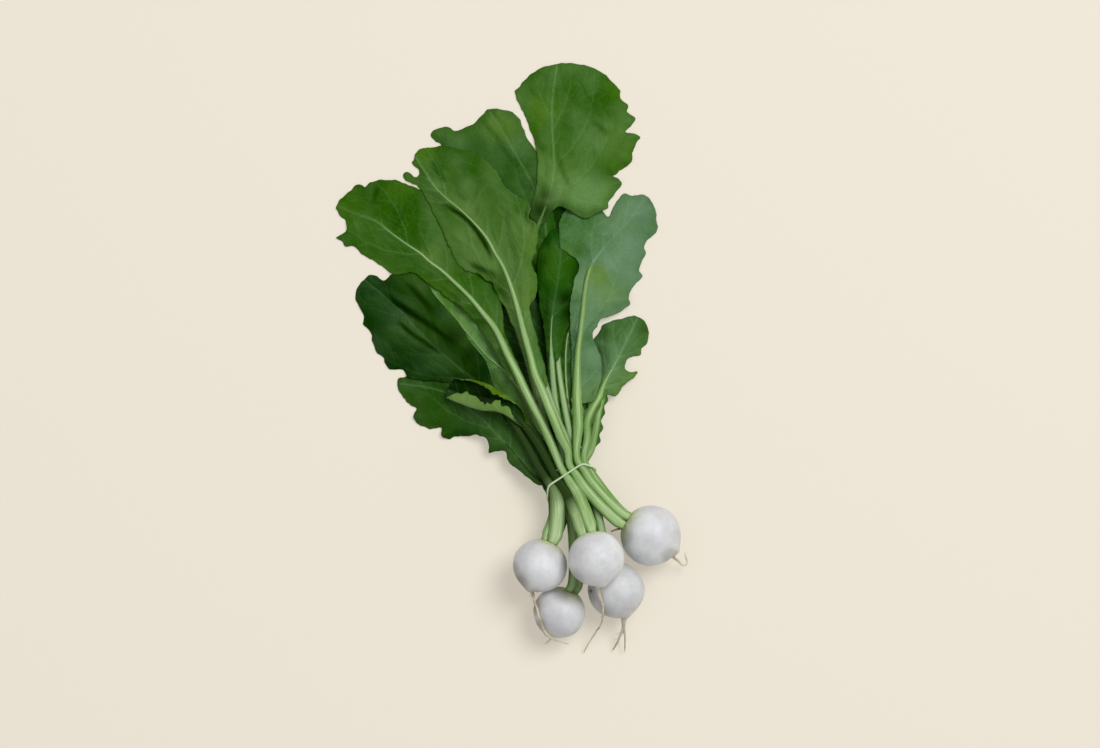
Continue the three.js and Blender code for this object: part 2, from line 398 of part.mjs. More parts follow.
  // lay it down: lift every ring point until the underside clears what is below, then ease the bends
  const K = P.length;
  const need = () => {
    const lift = Z.map((row) => row.map(() => 0));
    let worst = 0;
    for (let k = 0; k + 1 < K; k++) {
      for (let j = 0; j < 4; j++) {
        for (const tri of [[[k, j], [k, j + 1], [k + 1, j + 1]], [[k, j], [k + 1, j + 1], [k + 1, j]]]) {
          const [a, b, c] = tri.map(([m, n2]) => P[m][n2]);
          const [za, zb, zc] = tri.map(([m, n2]) => Z[m][n2] - H[m][n2]);
          rasterize(a, b, c, za, zb, zc, (cell, z, wa, wb, wc) => {
            const base = top[cell] > 0 ? top[cell] + gap[k] : 0;
            const v = base - z;
            const w0 = [wa, wb, wc];
            if (v <= 0.001 || tri.reduce((q, [m], i) => q + (fixed[m] ? w0[i] : 0), 0) > 0.3) return;
            if (v > worst && !(fixed[k] && fixed[k + 1])) worst = v;
            const w = [wa, wb, wc], norm = wa * wa + wb * wb + wc * wc;
            tri.forEach(([m, n2], i) => {
              if (!fixed[m]) lift[m][n2] = Math.max(lift[m][n2], Math.min(v, v * w[i] / norm));
            });
          });
        }
      }
    }
    for (let k = 0; k < K; k++) for (let j = 0; j < 5; j++) Z[k][j] += lift[k][j];
    return worst;
  };
  for (let pass = 0; pass < 14; pass++) {
    for (let i = 0; i < 3; i++) need();
    if (pass === 13) break;
    const S = Z.map((row2) => row2.slice());
    for (let k = 0; k < K; k++) {
      if (fixed[k]) continue;
      for (let j = 0; j < 5; j++) {
        const around = [];
        if (k > 0) around.push(S[k - 1][j]);
        if (k + 1 < K) around.push(S[k + 1][j]);
        let along = around.reduce((a, b) => a + b, 0) / around.length;
        if (j > 0 && j < 4) along = 0.5 * along + 0.25 * (S[k][j - 1] + S[k][j + 1]);
        Z[k][j] = Math.max(H[k][j] + 0.02, 0.45 * S[k][j] + 0.55 * along - (pass < 9 ? 0.25 : 0));
      }
      // a stalk turns over as one piece
      if (H[k][0] > BLADE_H * 1.05) {
        const m = Math.max(...Z[k]);
        for (let j = 0; j < 5; j++) Z[k][j] = Math.max(Z[k][j], m - 0.8);
      }
    }
  }
  for (let i = 0; i < 25 && need() > 0.01; i++);

  const rings = [];
  for (let k = 0; k < K; k++) {
    const ring = [];
    for (let j = 0; j < 5; j++) ring.push(new THREE.Vector3(P[k][j].x, P[k][j].y, Z[k][j] + H[k][j]));
    for (let j = 4; j >= 0; j--) ring.push(new THREE.Vector3(P[k][j].x, P[k][j].y, Z[k][j] - H[k][j]));
    rings.push(ring);
  }
  // the foot of the stalk follows the crown, TOUCH_GAP clear of it
  rings[0] = rings[0].map((p) => {
    const q = p.clone().addScaledVector(f.up, 6);
    for (let i = 0; i < 400 && !insideRoot(r, f, q, TOUCH_GAP); i++) q.addScaledVector(f.up, -0.05);
    return q.addScaledVector(f.up, 0.05);
  });
  addMesh(leaf.name, closedGeometry(rings), new THREE.MeshStandardMaterial({ color: 0x42682c, roughness: 0.55, metalness: 0 }));

  for (let k = 0; k + 1 < K; k++) {
    for (let j = 0; j < 4; j++) {
      for (const tri of [[[k, j], [k, j + 1], [k + 1, j + 1]], [[k, j], [k + 1, j + 1], [k + 1, j]]]) {
        const [a, b, c] = tri.map(([m, n2]) => P[m][n2]);
        const [za, zb, zc] = tri.map(([m, n2]) => Z[m][n2] + H[m][n2]);
        rasterize(a, b, c, za, zb, zc, (cell, z) => { if (z > top[cell]) top[cell] = z; });
      }
    }
  }
}

// ---- the tie ------------------------------------------------------------
{
  const reach = STALK_R + 0.45 + TIE_R;
  const pts = [];
  for (const leaf of LEAVES) {
    const [u, row] = leaf.slot;
    for (let i = 0; i < 24; i++) {
      const a = i * Math.PI / 12;
      pts.push([u + reach * Math.cos(a), row * TIE_ROW + reach * Math.sin(a)]);
    }
  }
  // convex outline round the stalks, in the plane across the bunch
  pts.sort((a, b) => a[0] - b[0] || a[1] - b[1]);
  const cross = (o, a, b) => (a[0] - o[0]) * (b[1] - o[1]) - (a[1] - o[1]) * (b[0] - o[0]);
  const half = (list) => {
    const h = [];
    for (const p of list) {
      while (h.length >= 2 && cross(h[h.length - 2], h[h.length - 1], p) <= 0) h.pop();
      h.push(p);
    }
    h.pop();
    return h;
  };
  const hull = [...half(pts), ...half(pts.slice().reverse())];
  const path = new THREE.CurvePath();
  const at = ([u, w]) => {
    const m = plan(TIE_MID);
    const bow = TIE_BOW * Math.max(0, w / (TIE_ROW + reach)) * Math.max(0, 1 - Math.pow(u / (22 + reach), 2));
    const along = w * TIE_LEAN + bow;
    return new THREE.Vector3(m.x + TIE_ACROSS.x * u + TIE_ALONG.x * along, m.y + TIE_ACROSS.y * u + TIE_ALONG.y * along, TIE_Z + w);
  };
  for (let i = 0; i < hull.length; i++) path.add(new THREE.LineCurve3(at(hull[i]), at(hull[(i + 1) % hull.length])));
  const around = path.getSpacedPoints(44).slice(0, 44);
  const loop = new THREE.CatmullRomCurve3(around, true, 'centripetal');
  // the first and last section coincide on a closed path, so the sections are joined in a ring
  const sec = [];
  const frames = loop.computeFrenetFrames(44, true);
  for (let k = 0; k < 44; k++) {
    const p = loop.getPoint(k / 44), ring = [];
    for (let i = 0; i < 7; i++) {
      const a = i * 2 * Math.PI / 7;
      ring.push(p.clone().addScaledVector(frames.normals[k], TIE_R * Math.cos(a)).addScaledVector(frames.binormals[k], TIE_R * Math.sin(a)));
    }
    sec.push(ring);
  }
  const pos = [], idx = [];
  sec.forEach((ring) => ring.forEach((p) => pos.push(p.x, p.y, p.z)));
  for (let k = 0; k < 44; k++) {
    for (let i = 0; i < 7; i++) {
      const a = k * 7 + i, b = k * 7 + (i + 1) % 7, c = ((k + 1) % 44) * 7 + i, d = ((k + 1) % 44) * 7 + (i + 1) % 7;
      idx.push(a, b, d, a, d, c);
    }
  }
  const g = new THREE.BufferGeometry();
  g.setAttribute('position', new THREE.Float32BufferAttribute(pos, 3));
  g.setIndex(idx);
  const v = [0, 1, 2].map(() => new THREE.Vector3());
  let vol = 0;
  for (let i = 0; i < idx.length; i += 3) {
    for (let j = 0; j < 3; j++) v[j].fromBufferAttribute(g.attributes.position, idx[i + j]);
    vol += v[0].dot(v[1].clone().cross(v[2])) / 6;
  }
  if (vol < 0) {
    for (let i = 0; i < idx.length; i += 3) [idx[i], idx[i + 1]] = [idx[i + 1], idx[i]];
    g.setIndex(idx);
  }
  addMesh('tie', g, new THREE.MeshStandardMaterial({ color: 0xbfd6a6, roughness: 0.5, metalness: 0 }));
}

// ---- origin at the middle of the underside ------------------------------
group.updateMatrixWorld(true);
const box = new THREE.Box3().setFromObject(group);
for (const mesh of group.children) {
  mesh.geometry.translate(-(box.min.x + box.max.x) / 2, -(box.min.y + box.max.y) / 2, -box.min.z);
}
group.userData.shift = [-(box.min.x + box.max.x) / 2, -(box.min.y + box.max.y) / 2, -box.min.z];

export default group;
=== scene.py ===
import bpy, bmesh, math, random
import numpy as np
from mathutils import Vector, Matrix
from mathutils.kdtree import KDTree
from mathutils.bvhtree import BVHTree
from mathutils.geometry import delaunay_2d_cdt


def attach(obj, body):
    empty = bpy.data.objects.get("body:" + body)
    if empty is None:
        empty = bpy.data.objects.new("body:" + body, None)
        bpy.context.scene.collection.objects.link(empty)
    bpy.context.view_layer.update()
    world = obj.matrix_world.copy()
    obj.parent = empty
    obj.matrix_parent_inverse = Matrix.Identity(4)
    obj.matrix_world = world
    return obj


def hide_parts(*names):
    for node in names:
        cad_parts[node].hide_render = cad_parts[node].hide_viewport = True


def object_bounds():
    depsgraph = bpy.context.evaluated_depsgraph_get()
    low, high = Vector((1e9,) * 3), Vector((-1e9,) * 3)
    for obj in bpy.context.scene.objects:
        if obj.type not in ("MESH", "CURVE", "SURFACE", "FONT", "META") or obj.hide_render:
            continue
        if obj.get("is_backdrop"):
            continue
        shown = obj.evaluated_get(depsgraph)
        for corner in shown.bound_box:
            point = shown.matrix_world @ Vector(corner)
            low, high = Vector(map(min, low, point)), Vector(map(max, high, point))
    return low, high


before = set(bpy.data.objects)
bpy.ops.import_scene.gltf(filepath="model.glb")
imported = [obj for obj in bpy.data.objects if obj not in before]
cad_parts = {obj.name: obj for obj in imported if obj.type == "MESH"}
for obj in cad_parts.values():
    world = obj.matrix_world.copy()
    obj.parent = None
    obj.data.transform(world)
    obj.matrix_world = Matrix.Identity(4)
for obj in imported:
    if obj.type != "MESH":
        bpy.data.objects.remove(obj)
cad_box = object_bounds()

random.seed(7)
rng = np.random.default_rng(7)
scene = bpy.context.scene

# ---------------------------------------------------------------- plan to model
U = 0.88
SHIFT = (-0.8927, -2.5270)


def plan(p):
    return np.array([(p[0] - 512) * U + SHIFT[0], (362 - p[1]) * U + SHIFT[1]])


def plans(ps):
    return np.array([plan(p) for p in ps])


# ---------------------------------------------------------------- value noise
def hash2(ix, iy, seed):
    n = (ix.astype(np.int64) * 374761393 + iy.astype(np.int64) * 668265263 + seed * 2147483647) & 0xFFFFFFFF
    n = ((n ^ (n >> 13)) * 1274126177) & 0xFFFFFFFF
    n = (n ^ (n >> 16)) & 0xFFFFFFFF
    return n / 4294967295.0 * 2 - 1


def noise2(x, y, seed=0):
    ix, iy = np.floor(x), np.floor(y)
    fx, fy = x - ix, y - iy
    fx, fy = fx * fx * (3 - 2 * fx), fy * fy * (3 - 2 * fy)
    a, b = hash2(ix, iy, seed), hash2(ix + 1, iy, seed)
    c, d = hash2(ix, iy + 1, seed), hash2(ix + 1, iy + 1, seed)
    return (a * (1 - fx) + b * fx) * (1 - fy) + (c * (1 - fx) + d * fx) * fy


def fbm2(x, y, seed=0, octaves=3):
    out, amp = 0, 1.0
    for o in range(octaves):
        out = out + amp * noise2(x * 2 ** o, y * 2 ** o, seed + 17 * o)
        amp *= 0.5
    return out


# ---------------------------------------------------------------- curves
def catmull(points, closed=False, per=12):
    """Centripetal Catmull-Rom through the points, densely sampled."""
    P = np.asarray(points, float)
    n = len(P)
    out = []
    segs = n if closed else n - 1
    for i in range(segs):
        if closed:
            p0, p1, p2, p3 = P[(i - 1) % n], P[i], P[(i + 1) % n], P[(i + 2) % n]
        else:
            p1, p2 = P[i], P[i + 1]
            p0 = P[i - 1] if i > 0 else 2 * p1 - p2
            p3 = P[i + 2] if i + 2 < n else 2 * p2 - p1
        d0 = max(np.linalg.norm(p1 - p0) ** 0.5, 1e-4)
        d1 = max(np.linalg.norm(p2 - p1) ** 0.5, 1e-4)
        d2 = max(np.linalg.norm(p3 - p2) ** 0.5, 1e-4)
        m1 = (p1 - p0) / d0 - (p2 - p0) / (d0 + d1) + (p2 - p1) / d1
        m2 = (p2 - p1) / d1 - (p3 - p1) / (d1 + d2) + (p3 - p2) / d2
        m1, m2 = m1 * d1, m2 * d1
        t = np.linspace(0, 1, per, endpoint=False)[:, None]
        out.append((2 * t ** 3 - 3 * t ** 2 + 1) * p1 + (t ** 3 - 2 * t ** 2 + t) * m1
                   + (-2 * t ** 3 + 3 * t ** 2) * p2 + (t ** 3 - t ** 2) * m2)
    out = np.concatenate(out)
    if not closed:
        out = np.vstack([out, P[-1]])
    return out


def resample(P, step, closed=False):
    P = np.asarray(P, float)
    if closed:
        P = np.vstack([P, P[:1]])
    seg = np.linalg.norm(np.diff(P, axis=0), axis=1)
    s = np.concatenate([[0], np.cumsum(seg)])
    n = max(2, int(round(s[-1] / step)))
    t = np.linspace(0, s[-1], n + 1)
    out = np.stack([np.interp(t, s, P[:, k]) for k in range(P.shape[1])], 1)
    return out[:-1] if closed else out


def arclen(P):
    return np.concatenate([[0], np.cumsum(np.linalg.norm(np.diff(P, axis=0), axis=1))])


def in_poly(poly, pts):
    x, y = pts[:, 0], pts[:, 1]
    c = np.zeros(len(pts), bool)
    n = len(poly)
    j = n - 1
    for i in range(n):
        xi, yi, xj, yj = poly[i, 0], poly[i, 1], poly[j, 0], poly[j, 1]
        if yi != yj:
            m = ((yi > y) != (yj > y)) & (x < (xj - xi) * (y - yi) / (yj - yi) + xi)
            c ^= m
        j = i
    return c


def kd_of(pts):
    kd = KDTree(len(pts))
    for i, p in enumerate(pts):
        kd.insert((p[0], p[1], p[2] if len(p) > 2 else 0.0), i)
    kd.balance()
    return kd


def nearest(kd, pts):
    idx = np.empty(len(pts), int)
    dist = np.empty(len(pts))
    for k, p in enumerate(pts):
        _, i, d = kd.find((p[0], p[1], p[2] if len(p) > 2 else 0.0))
        idx[k], dist[k] = i, d
    return idx, dist


# ---------------------------------------------------------------- node helper
class Nodes:
    """Small helper that builds a material's node tree."""

    def __init__(self, name):
        self.m = bpy.data.materials.new(name)
        self.m.use_nodes = True
        self.t = self.m.node_tree
        self.t.nodes.clear()
        self.out = self.t.nodes.new("ShaderNodeOutputMaterial")
        self.b = self.t.nodes.new("ShaderNodeBsdfPrincipled")
        self.t.links.new(self.b.outputs[0], self.out.inputs[0])

    def add(self, kind, **inputs):
        n = self.t.nodes.new("ShaderNode" + kind)
        for k, v in inputs.items():
            if k.startswith("_"):
                setattr(n, k[1:], v)
            else:
                self.set(n, k.replace("__", " "), v)
        return n

    def set(self, n, key, v):
        s = n.inputs[int(key[1:])] if key[0] == "i" and key[1:].isdigit() else n.inputs[key]
        if isinstance(v, bpy.types.NodeSocket):
            self.t.links.new(v, s)
        else:
            s.default_value = v

    def math(self, op, a, b=0.0, clamp=False):
        n = self.t.nodes.new("ShaderNodeMath")
        n.operation = op
        n.use_clamp = clamp
        self.set(n, "i0", a)
        if op not in ("SQRT", "ABSOLUTE", "SINE", "COSINE", "FRACT"):
            self.set(n, "i1", b)
        return n.outputs[0]

    def mix(self, fac, a, b, mode="MIX"):
        n = self.t.nodes.new("ShaderNodeMix")
        n.data_type = "RGBA"
        n.blend_type = mode
        n.clamp_factor = True
        self.set(n, "i0", fac)
        for i, v in ((6, a), (7, b)):
            if isinstance(v, bpy.types.NodeSocket):
                self.t.links.new(v, n.inputs[i])
            else:
                n.inputs[i].default_value = (*v[:3], 1.0)
        return n.outputs[2]

    def noise(self, vec, scale, detail=3.0, rough=0.55, dist=0.0):
        n = self.add("TexNoise", Vector=vec, Scale=scale, Detail=detail, Roughness=rough, Distortion=dist)
        return n.outputs[0]

    def ramp(self, fac, lo, hi, clamp=True):
        n = self.add("MapRange")
        n.clamp = clamp
        self.set(n, "i0", fac)
        n.inputs[1].default_value = lo
        n.inputs[2].default_value = hi
        return n.outputs[0]

    def attr(self, name):
        n = self.t.nodes.new("ShaderNodeAttribute")
        n.attribute_name = name
        return n

    def coords(self):
        return self.t.nodes.new("ShaderNodeTexCoord").outputs["Object"]

    def bump(self, height, strength, distance, normal=None):
        n = self.add("Bump", Height=height, Strength=strength, Distance=distance)
        if normal is not None:
            self.set(n, "Normal", normal)
        return n.outputs[0]


def srgb(r, g, b):
    def f(c):
        c = c / 255.0
        return c / 12.92 if c <= 0.04045 else ((c + 0.055) / 1.055) ** 2.4
    return (f(r), f(g), f(b))


# ---------------------------------------------------------------- leaf material
def leaf_material(name, face, back, gloss=0.46, net=1.0, veins=1.0):
    """face, back: (deep, pale) colours of either side of the leaf."""
    N = Nodes(name)
    co = N.coords()
    vein = N.attr("vein").outputs["Fac"]
    rib = N.attr("rib").outputs["Fac"]
    edge = N.attr("edge").outputs["Fac"]       # 1 on the margin, 0 from 5 mm in
    under = N.attr("back").outputs["Fac"]      # 1 on the back side of the leaf
    tone = N.attr("tone").outputs["Fac"]       # 0 deep and saturated, 1 pale and dusty; the pale end also stands for painted sheen, and tone lowered by patches and creases for painted shade
    n1 = N.noise(co, 21.0, 3.0, 0.55)
    n2 = N.noise(co, 75.0, 3.0, 0.6)
    n3 = N.noise(co, 460.0, 2.0, 0.6)
    # noise moves the colour between deep and pale: real tone variation, and painted sheen where it is pale
    t = N.math("ADD", tone, N.math("MULTIPLY", N.math("SUBTRACT", n1, 0.5), 1.1))
    t = N.math("ADD", t, N.math("MULTIPLY", N.math("SUBTRACT", n2, 0.5), 0.45), True)
    deep = N.mix(under, face[0], back[0])
    pale = N.mix(under, face[1], back[1])
    col = N.mix(t, deep, pale)
    # young tissue shows a little yellow
    yel = N.mix(under, (face[1][0] * 1.10, face[1][1] * 1.04, face[0][2] * 0.8), (back[1][0] * 1.08, back[1][1] * 1.05, back[0][2]))
    n4 = N.noise(co, 13.0, 2.0, 0.5)
    col = N.mix(N.math("MULTIPLY", N.ramp(n4, 0.54, 0.72), 0.55), col, yel)
    warm = N.attr("warm").outputs["Fac"]       # 1 where the blade shows yellow-green
    col = N.mix(N.math("MULTIPLY", warm, 0.8), col, N.mix(t, (0.055, 0.155, 0.004), (0.115, 0.215, 0.016)))
    # net of the smallest veins
    warp = N.add("VectorMath", _operation="ADD")
    N.t.links.new(co, warp.inputs[0])
    wn = N.add("TexNoise", Vector=co, Scale=230.0, Detail=2.0)
    ws = N.add("VectorMath", _operation="SCALE")
    N.t.links.new(wn.outputs["Color"], ws.inputs[0])
    ws.inputs["Scale"].default_value = 0.0016
    N.t.links.new(ws.outputs[0], warp.inputs[1])
    v1 = N.add("TexVoronoi", Vector=warp.outputs[0], Scale=265.0)
    v1.feature = "DISTANCE_TO_EDGE"
    net1 = N.math("SUBTRACT", 1.0, N.ramp(v1.outputs[0], 0.0, 0.14))
    v2 = N.add("TexVoronoi", Vector=warp.outputs[0], Scale=110.0)
    v2.feature = "DISTANCE_TO_EDGE"
    net2 = N.math("SUBTRACT", 1.0, N.ramp(v2.outputs[0], 0.0, 0.075))
    netc = N.mix(0.55, col, pale)
    col = N.mix(N.math("MULTIPLY", net1, 0.20 * net), col, netc)
    col = N.mix(N.math("MULTIPLY", net2, 0.40 * net), col, netc)
    # main veins, and the rib where the blade meets it
    vc = N.mix(under, tuple(min(1.0, c * 1.25 + 0.035) for c in face[1]), tuple(min(1.0, c * 1.35 + 0.05) for c in back[1]))
    col = N.mix(N.math("MULTIPLY", vein, 0.55 * veins), col, vc)
    col = N.mix(N.math("MULTIPLY", rib, 0.55), col, vc)
    # the margin is a little darker, drying here and there to olive
    rim = N.math("POWER", edge, 4.0)
    col = N.mix(N.math("MULTIPLY", rim, 0.10), col, N.mix(0.5, deep, (0.040, 0.045, 0.006)))
    dry = N.math("MULTIPLY", N.ramp(n2, 0.54, 0.70), N.math("POWER", edge, 2.0))
    col = N.mix(N.math("MULTIPLY", dry, 0.30), col, (0.10, 0.13, 0.012))
    sp = N.math("MULTIPLY", N.ramp(N.noise(co, 900.0, 1.0, 0.5), 0.71, 0.78), 0.25)
    col = N.mix(sp, col, pale)
    gloom = N.attr("dark").outputs["Fac"]      # 1 where shade is painted: near-black green in folds and gaps
    # painted shade: the colour is mixed towards near-black green where the dark attribute is set
    col = N.mix(N.math("MULTIPLY", gloom, 0.96), col, N.mix(0.85, deep, (0.003, 0.010, 0.0)))
    N.set(N.b, "Base Color", col)
    rough = N.math("ADD", gloss, N.math("MULTIPLY", n2, 0.16))
    rough = N.math("ADD", rough, N.math("MULTIPLY", under, 0.08))
    N.set(N.b, "Roughness", rough)
    N.set(N.b, "Specular IOR Level", N.math("MULTIPLY", N.math("ADD", 0.01, N.math("MULTIPLY", t, 0.22)), N.math("SUBTRACT", 1.0, gloom)))
    N.b.inputs["Sheen Weight"].default_value = 0.0
    h = N.math("ADD", N.math("MULTIPLY", net1, -0.30), N.math("MULTIPLY", net2, -0.55))
    sign = N.math("SUBTRACT", 1.0, N.math("MULTIPLY", under, 2.0))
    h = N.math("MULTIPLY", h, sign)
    h = N.math("ADD", h, N.math("MULTIPLY", N.math("MULTIPLY", vein, -0.9), sign))
    h = N.math("ADD", h, N.math("MULTIPLY", n3, 0.30))
    h = N.math("ADD", h, N.math("MULTIPLY", n2, 1.3))
    N.set(N.b, "Normal", N.bump(h, 0.55, 0.0006))
    return N.m


def stalk_material(name, pale=(0.31, 0.49, 0.145), deep=(0.125, 0.27, 0.05), white=(0.54, 0.68, 0.36), past=None, past_at=(0.2, 0.34), past_mix=0.82, fade_to=0.55):
    N = Nodes(name)
    co = N.coords()
    fl = N.attr("flow").outputs["Vector"]      # x around the stalk, y along it in metres
    far = N.attr("far").outputs["Fac"]         # 0 at the crown, 1 at the tip
    sep = N.add("SeparateXYZ")
    N.t.links.new(fl, sep.inputs[0])
    comb = N.add("CombineXYZ")
    N.t.links.new(N.math("MULTIPLY", sep.outputs[0], 2.6), comb.inputs[0])
    N.t.links.new(N.math("MULTIPLY", sep.outputs[1], 2.6), comb.inputs[1])
    N.t.links.new(N.math("MULTIPLY", sep.outputs[2], 22.0), comb.inputs[2])
    streak = N.noise(comb.outputs[0], 1.0, 3.0, 0.6)
    com2 = N.add("CombineXYZ")
    N.t.links.new(N.math("MULTIPLY", sep.outputs[0], 11.0), com2.inputs[0])
    N.t.links.new(N.math("MULTIPLY", sep.outputs[1], 11.0), com2.inputs[1])
    N.t.links.new(N.math("MULTIPLY", sep.outputs[2], 16.0), com2.inputs[2])
    fine = N.noise(com2.outputs[0], 1.0, 2.0, 0.5)
    n2 = N.noise(co, 60.0, 3.0, 0.6)
    # painted shade: the stalk's sides are darkened towards the deep colour; the streaks along it are its own colour
    flank = N.math("POWER", N.math("ABSOLUTE", sep.outputs[1]), 2.0)
    shade = N.math("SUBTRACT", N.ramp(streak, 0.34, 0.66), N.math("MULTIPLY", flank, 0.80), True)
    col = N.mix(shade, deep, pale)
    # painted highlight: the top of the stalk is mixed towards white, less of it past the tie
    col = N.mix(N.math("MULTIPLY", N.ramp(N.math("ADD", sep.outputs[0], N.math("MULTIPLY", streak, 0.6)), 0.95, 1.45), N.math("SUBTRACT", 0.38, N.math("MULTIPLY", N.ramp(far, 0.15, 0.5), 0.26))), col, white)
    col = N.mix(N.math("MULTIPLY", N.ramp(n2, 0.50, 0.80), 0.35), col, tuple(c * 0.78 for c in pale))
    col = N.mix(N.math("MULTIPLY", N.ramp(fine, 0.52, 0.72), 0.40), col, white)
    col = N.mix(N.math("MULTIPLY", N.math("SUBTRACT", 1.0, N.ramp(far, 0.0, 0.10)), 0.22), col, white)
    col = N.mix(N.math("MULTIPLY", N.ramp(far, 0.45, 1.0), fade_to), col, tuple(c * 0.82 for c in deep))
    if past:                                   # past the tie the stalk turns to the given colour: a leaf green for stalk_leafy, near-black painted shade for the stalk in shade
        col = N.mix(N.math("MULTIPLY", N.ramp(far, *past_at), past_mix), col, past)
    N.set(N.b, "Base Color", col)
    N.set(N.b, "Roughness", N.math("ADD", 0.34, N.math("MULTIPLY", n2, 0.18)))
    if past:
        N.set(N.b, "Specular IOR Level", N.math("SUBTRACT", 0.45, N.math("MULTIPLY", N.ramp(far, *past_at), 0.42)))
    else:
        N.b.inputs["Specular IOR Level"].default_value = 0.45
    N.b.inputs["Subsurface Weight"].default_value = 0.18 if not past else 0.05
    N.b.inputs["Subsurface Radius"].default_value = (0.6, 1.0, 0.3)
    N.b.inputs["Subsurface Scale"].default_value = 0.002
    h = N.math("ADD", N.math("MULTIPLY", streak, 1.0), N.math("MULTIPLY", fine, 0.22))
    h = N.math("ADD", h, N.math("MULTIPLY", n2, 0.5))
    N.set(N.b, "Normal", N.bump(h, 0.5, 0.0008))
    return N.m


def turnip_material():
    N = Nodes("turnip_skin_fresh")
    co = N.coords()
    ax = N.attr("axis").outputs["Fac"]         # 1 at the crown, 0 at the tail pole and on the tail
    tail = N.attr("tail").outputs["Fac"]
    fl = N.attr("flow").outputs["Vector"]
    n0 = N.noise(co, 34.0, 3.0, 0.6)
    n1 = N.noise(co, 95.0, 4.0, 0.6)
    n2 = N.noise(co, 520.0, 3.0, 0.6)
    white = srgb(219, 221, 223)
    grey = srgb(192, 189, 195)
    cream = srgb(196, 199, 152)
    col = N.mix(N.math("MULTIPLY", N.ramp(n0, 0.42, 0.66), 0.60), white, grey)
    col = N.mix(N.math("MULTIPLY", N.ramp(n1, 0.50, 0.76), 0.38), col, srgb(192, 184, 172))
    # faint rings round the root, stronger by the tail
    sep = N.add("SeparateXYZ")
    N.t.links.new(fl, sep.inputs[0])
    ringp = N.math("ADD", N.math("MULTIPLY", ax, 150.0), N.math("MULTIPLY", n1, 5.0))
    ring = N.ramp(N.math("SINE", ringp), 0.72, 1.0)
    comb = N.add("CombineXYZ")
    N.t.links.new(N.math("MULTIPLY", sep.outputs[0], 9.0), comb.inputs[0])
    N.t.links.new(N.math("MULTIPLY", ax, 46.0), comb.inputs[1])
    dash = N.ramp(N.noise(comb.outputs[0], 1.0, 2.0, 0.5), 0.56, 0.66)
    low = N.math("SUBTRACT", 1.0, N.ramp(ax, 0.04, 0.38))
    mark = N.math("MULTIPLY", N.math("MULTIPLY", ring, dash), N.math("ADD", 0.10, N.math("MULTIPLY", low, 0.55)))
    col = N.mix(mark, col, srgb(176, 160, 134))
    # shoulder by the crown is greenish cream, tail is cream to tan
    sh = N.ramp(ax, 0.84, 0.985)
    col = N.mix(N.math("MULTIPLY", sh, 0.60), col, cream)
    col = N.mix(N.math("MULTIPLY", N.ramp(ax, 0.93, 1.0), 0.55), col, srgb(168, 186, 112))
    pole = N.math("SUBTRACT", 1.0, N.ramp(ax, 0.0, 0.10))
    col = N.mix(N.math("MULTIPLY", pole, 0.35), col, srgb(206, 192, 166))
    tcol = N.mix(N.ramp(n1, 0.40, 0.66), srgb(216, 206, 184), srgb(166, 150, 120))
    col = N.mix(tail, col, tcol)
    # soil left in small pits
    pit = N.math("MULTIPLY", N.ramp(N.noise(co, 240.0, 2.0, 0.6), 0.715, 0.76), 0.55)
    col = N.mix(N.math("MULTIPLY", pit, N.math("ADD", 0.25, low)), col, srgb(120, 98, 72))
    spot = N.attr("spot").outputs["Fac"]
    col = N.mix(N.math("MULTIPLY", spot, 0.85), col, srgb(60, 44, 30))
    # painted shade on the root flanks, and the twig stubs' own colour, mixed towards dark brown
    stain = N.attr("stain").outputs["Fac"]
    col = N.mix(N.math("MULTIPLY", stain, N.math("ADD", 0.60, N.math("MULTIPLY", n1, 0.4))), col, srgb(92, 82, 68))
    # painted light and shade: the skin colour is scaled by a per-root factor, clamped at 1
    lum = N.attr("lum").outputs["Fac"]
    col = N.mix(lum, (0.0, 0.0, 0.0), col)
    N.set(N.b, "Base Color", col)
    N.set(N.b, "Roughness", N.math("ADD", 0.34, N.math("MULTIPLY", n1, 0.22)))
    N.b.inputs["Specular IOR Level"].default_value = 0.42
    N.b.inputs["Subsurface Weight"].default_value = 0.35
    N.b.inputs["Subsurface Radius"].default_value = (1.0, 0.85, 0.75)
    N.b.inputs["Subsurface Scale"].default_value = 0.003
    h = N.math("ADD", N.math("MULTIPLY", n1, 0.8), N.math("MULTIPLY", n2, 0.22))
    h = N.math("SUBTRACT", h, N.math("MULTIPLY", mark, 0.6))
    h = N.math("SUBTRACT", h, N.math("MULTIPLY", pit, 0.5))
    N.set(N.b, "Normal", N.bump(h, 0.35, 0.0008))
    return N.m


def tie_material():
    N = Nodes("tie_elastic")
    co = N.coords()
    fl = N.attr("flow").outputs["Vector"]
    sep = N.add("SeparateXYZ")
    N.t.links.new(fl, sep.inputs[0])
    n1 = N.noise(co, 300.0, 3.0, 0.6)
    rib = N.math("SINE", N.math("MULTIPLY", sep.outputs[1], 5200.0))
    col = N.mix(N.ramp(n1, 0.35, 0.75), srgb(206, 224, 184), srgb(176, 204, 146))
    col = N.mix(N.math("MULTIPLY", N.ramp(rib, 0.2, 1.0), 0.25), col, srgb(150, 182, 120))
    N.set(N.b, "Base Color", col)
    N.set(N.b, "Roughness", N.math("ADD", 0.42, N.math("MULTIPLY", n1, 0.2)))
    N.b.inputs["Subsurface Weight"].default_value = 0.1
    N.b.inputs["Subsurface Scale"].default_value = 0.001
    N.set(N.b, "Normal", N.bump(N.math("ADD", rib, n1), 0.35, 0.0002))
    return N.m


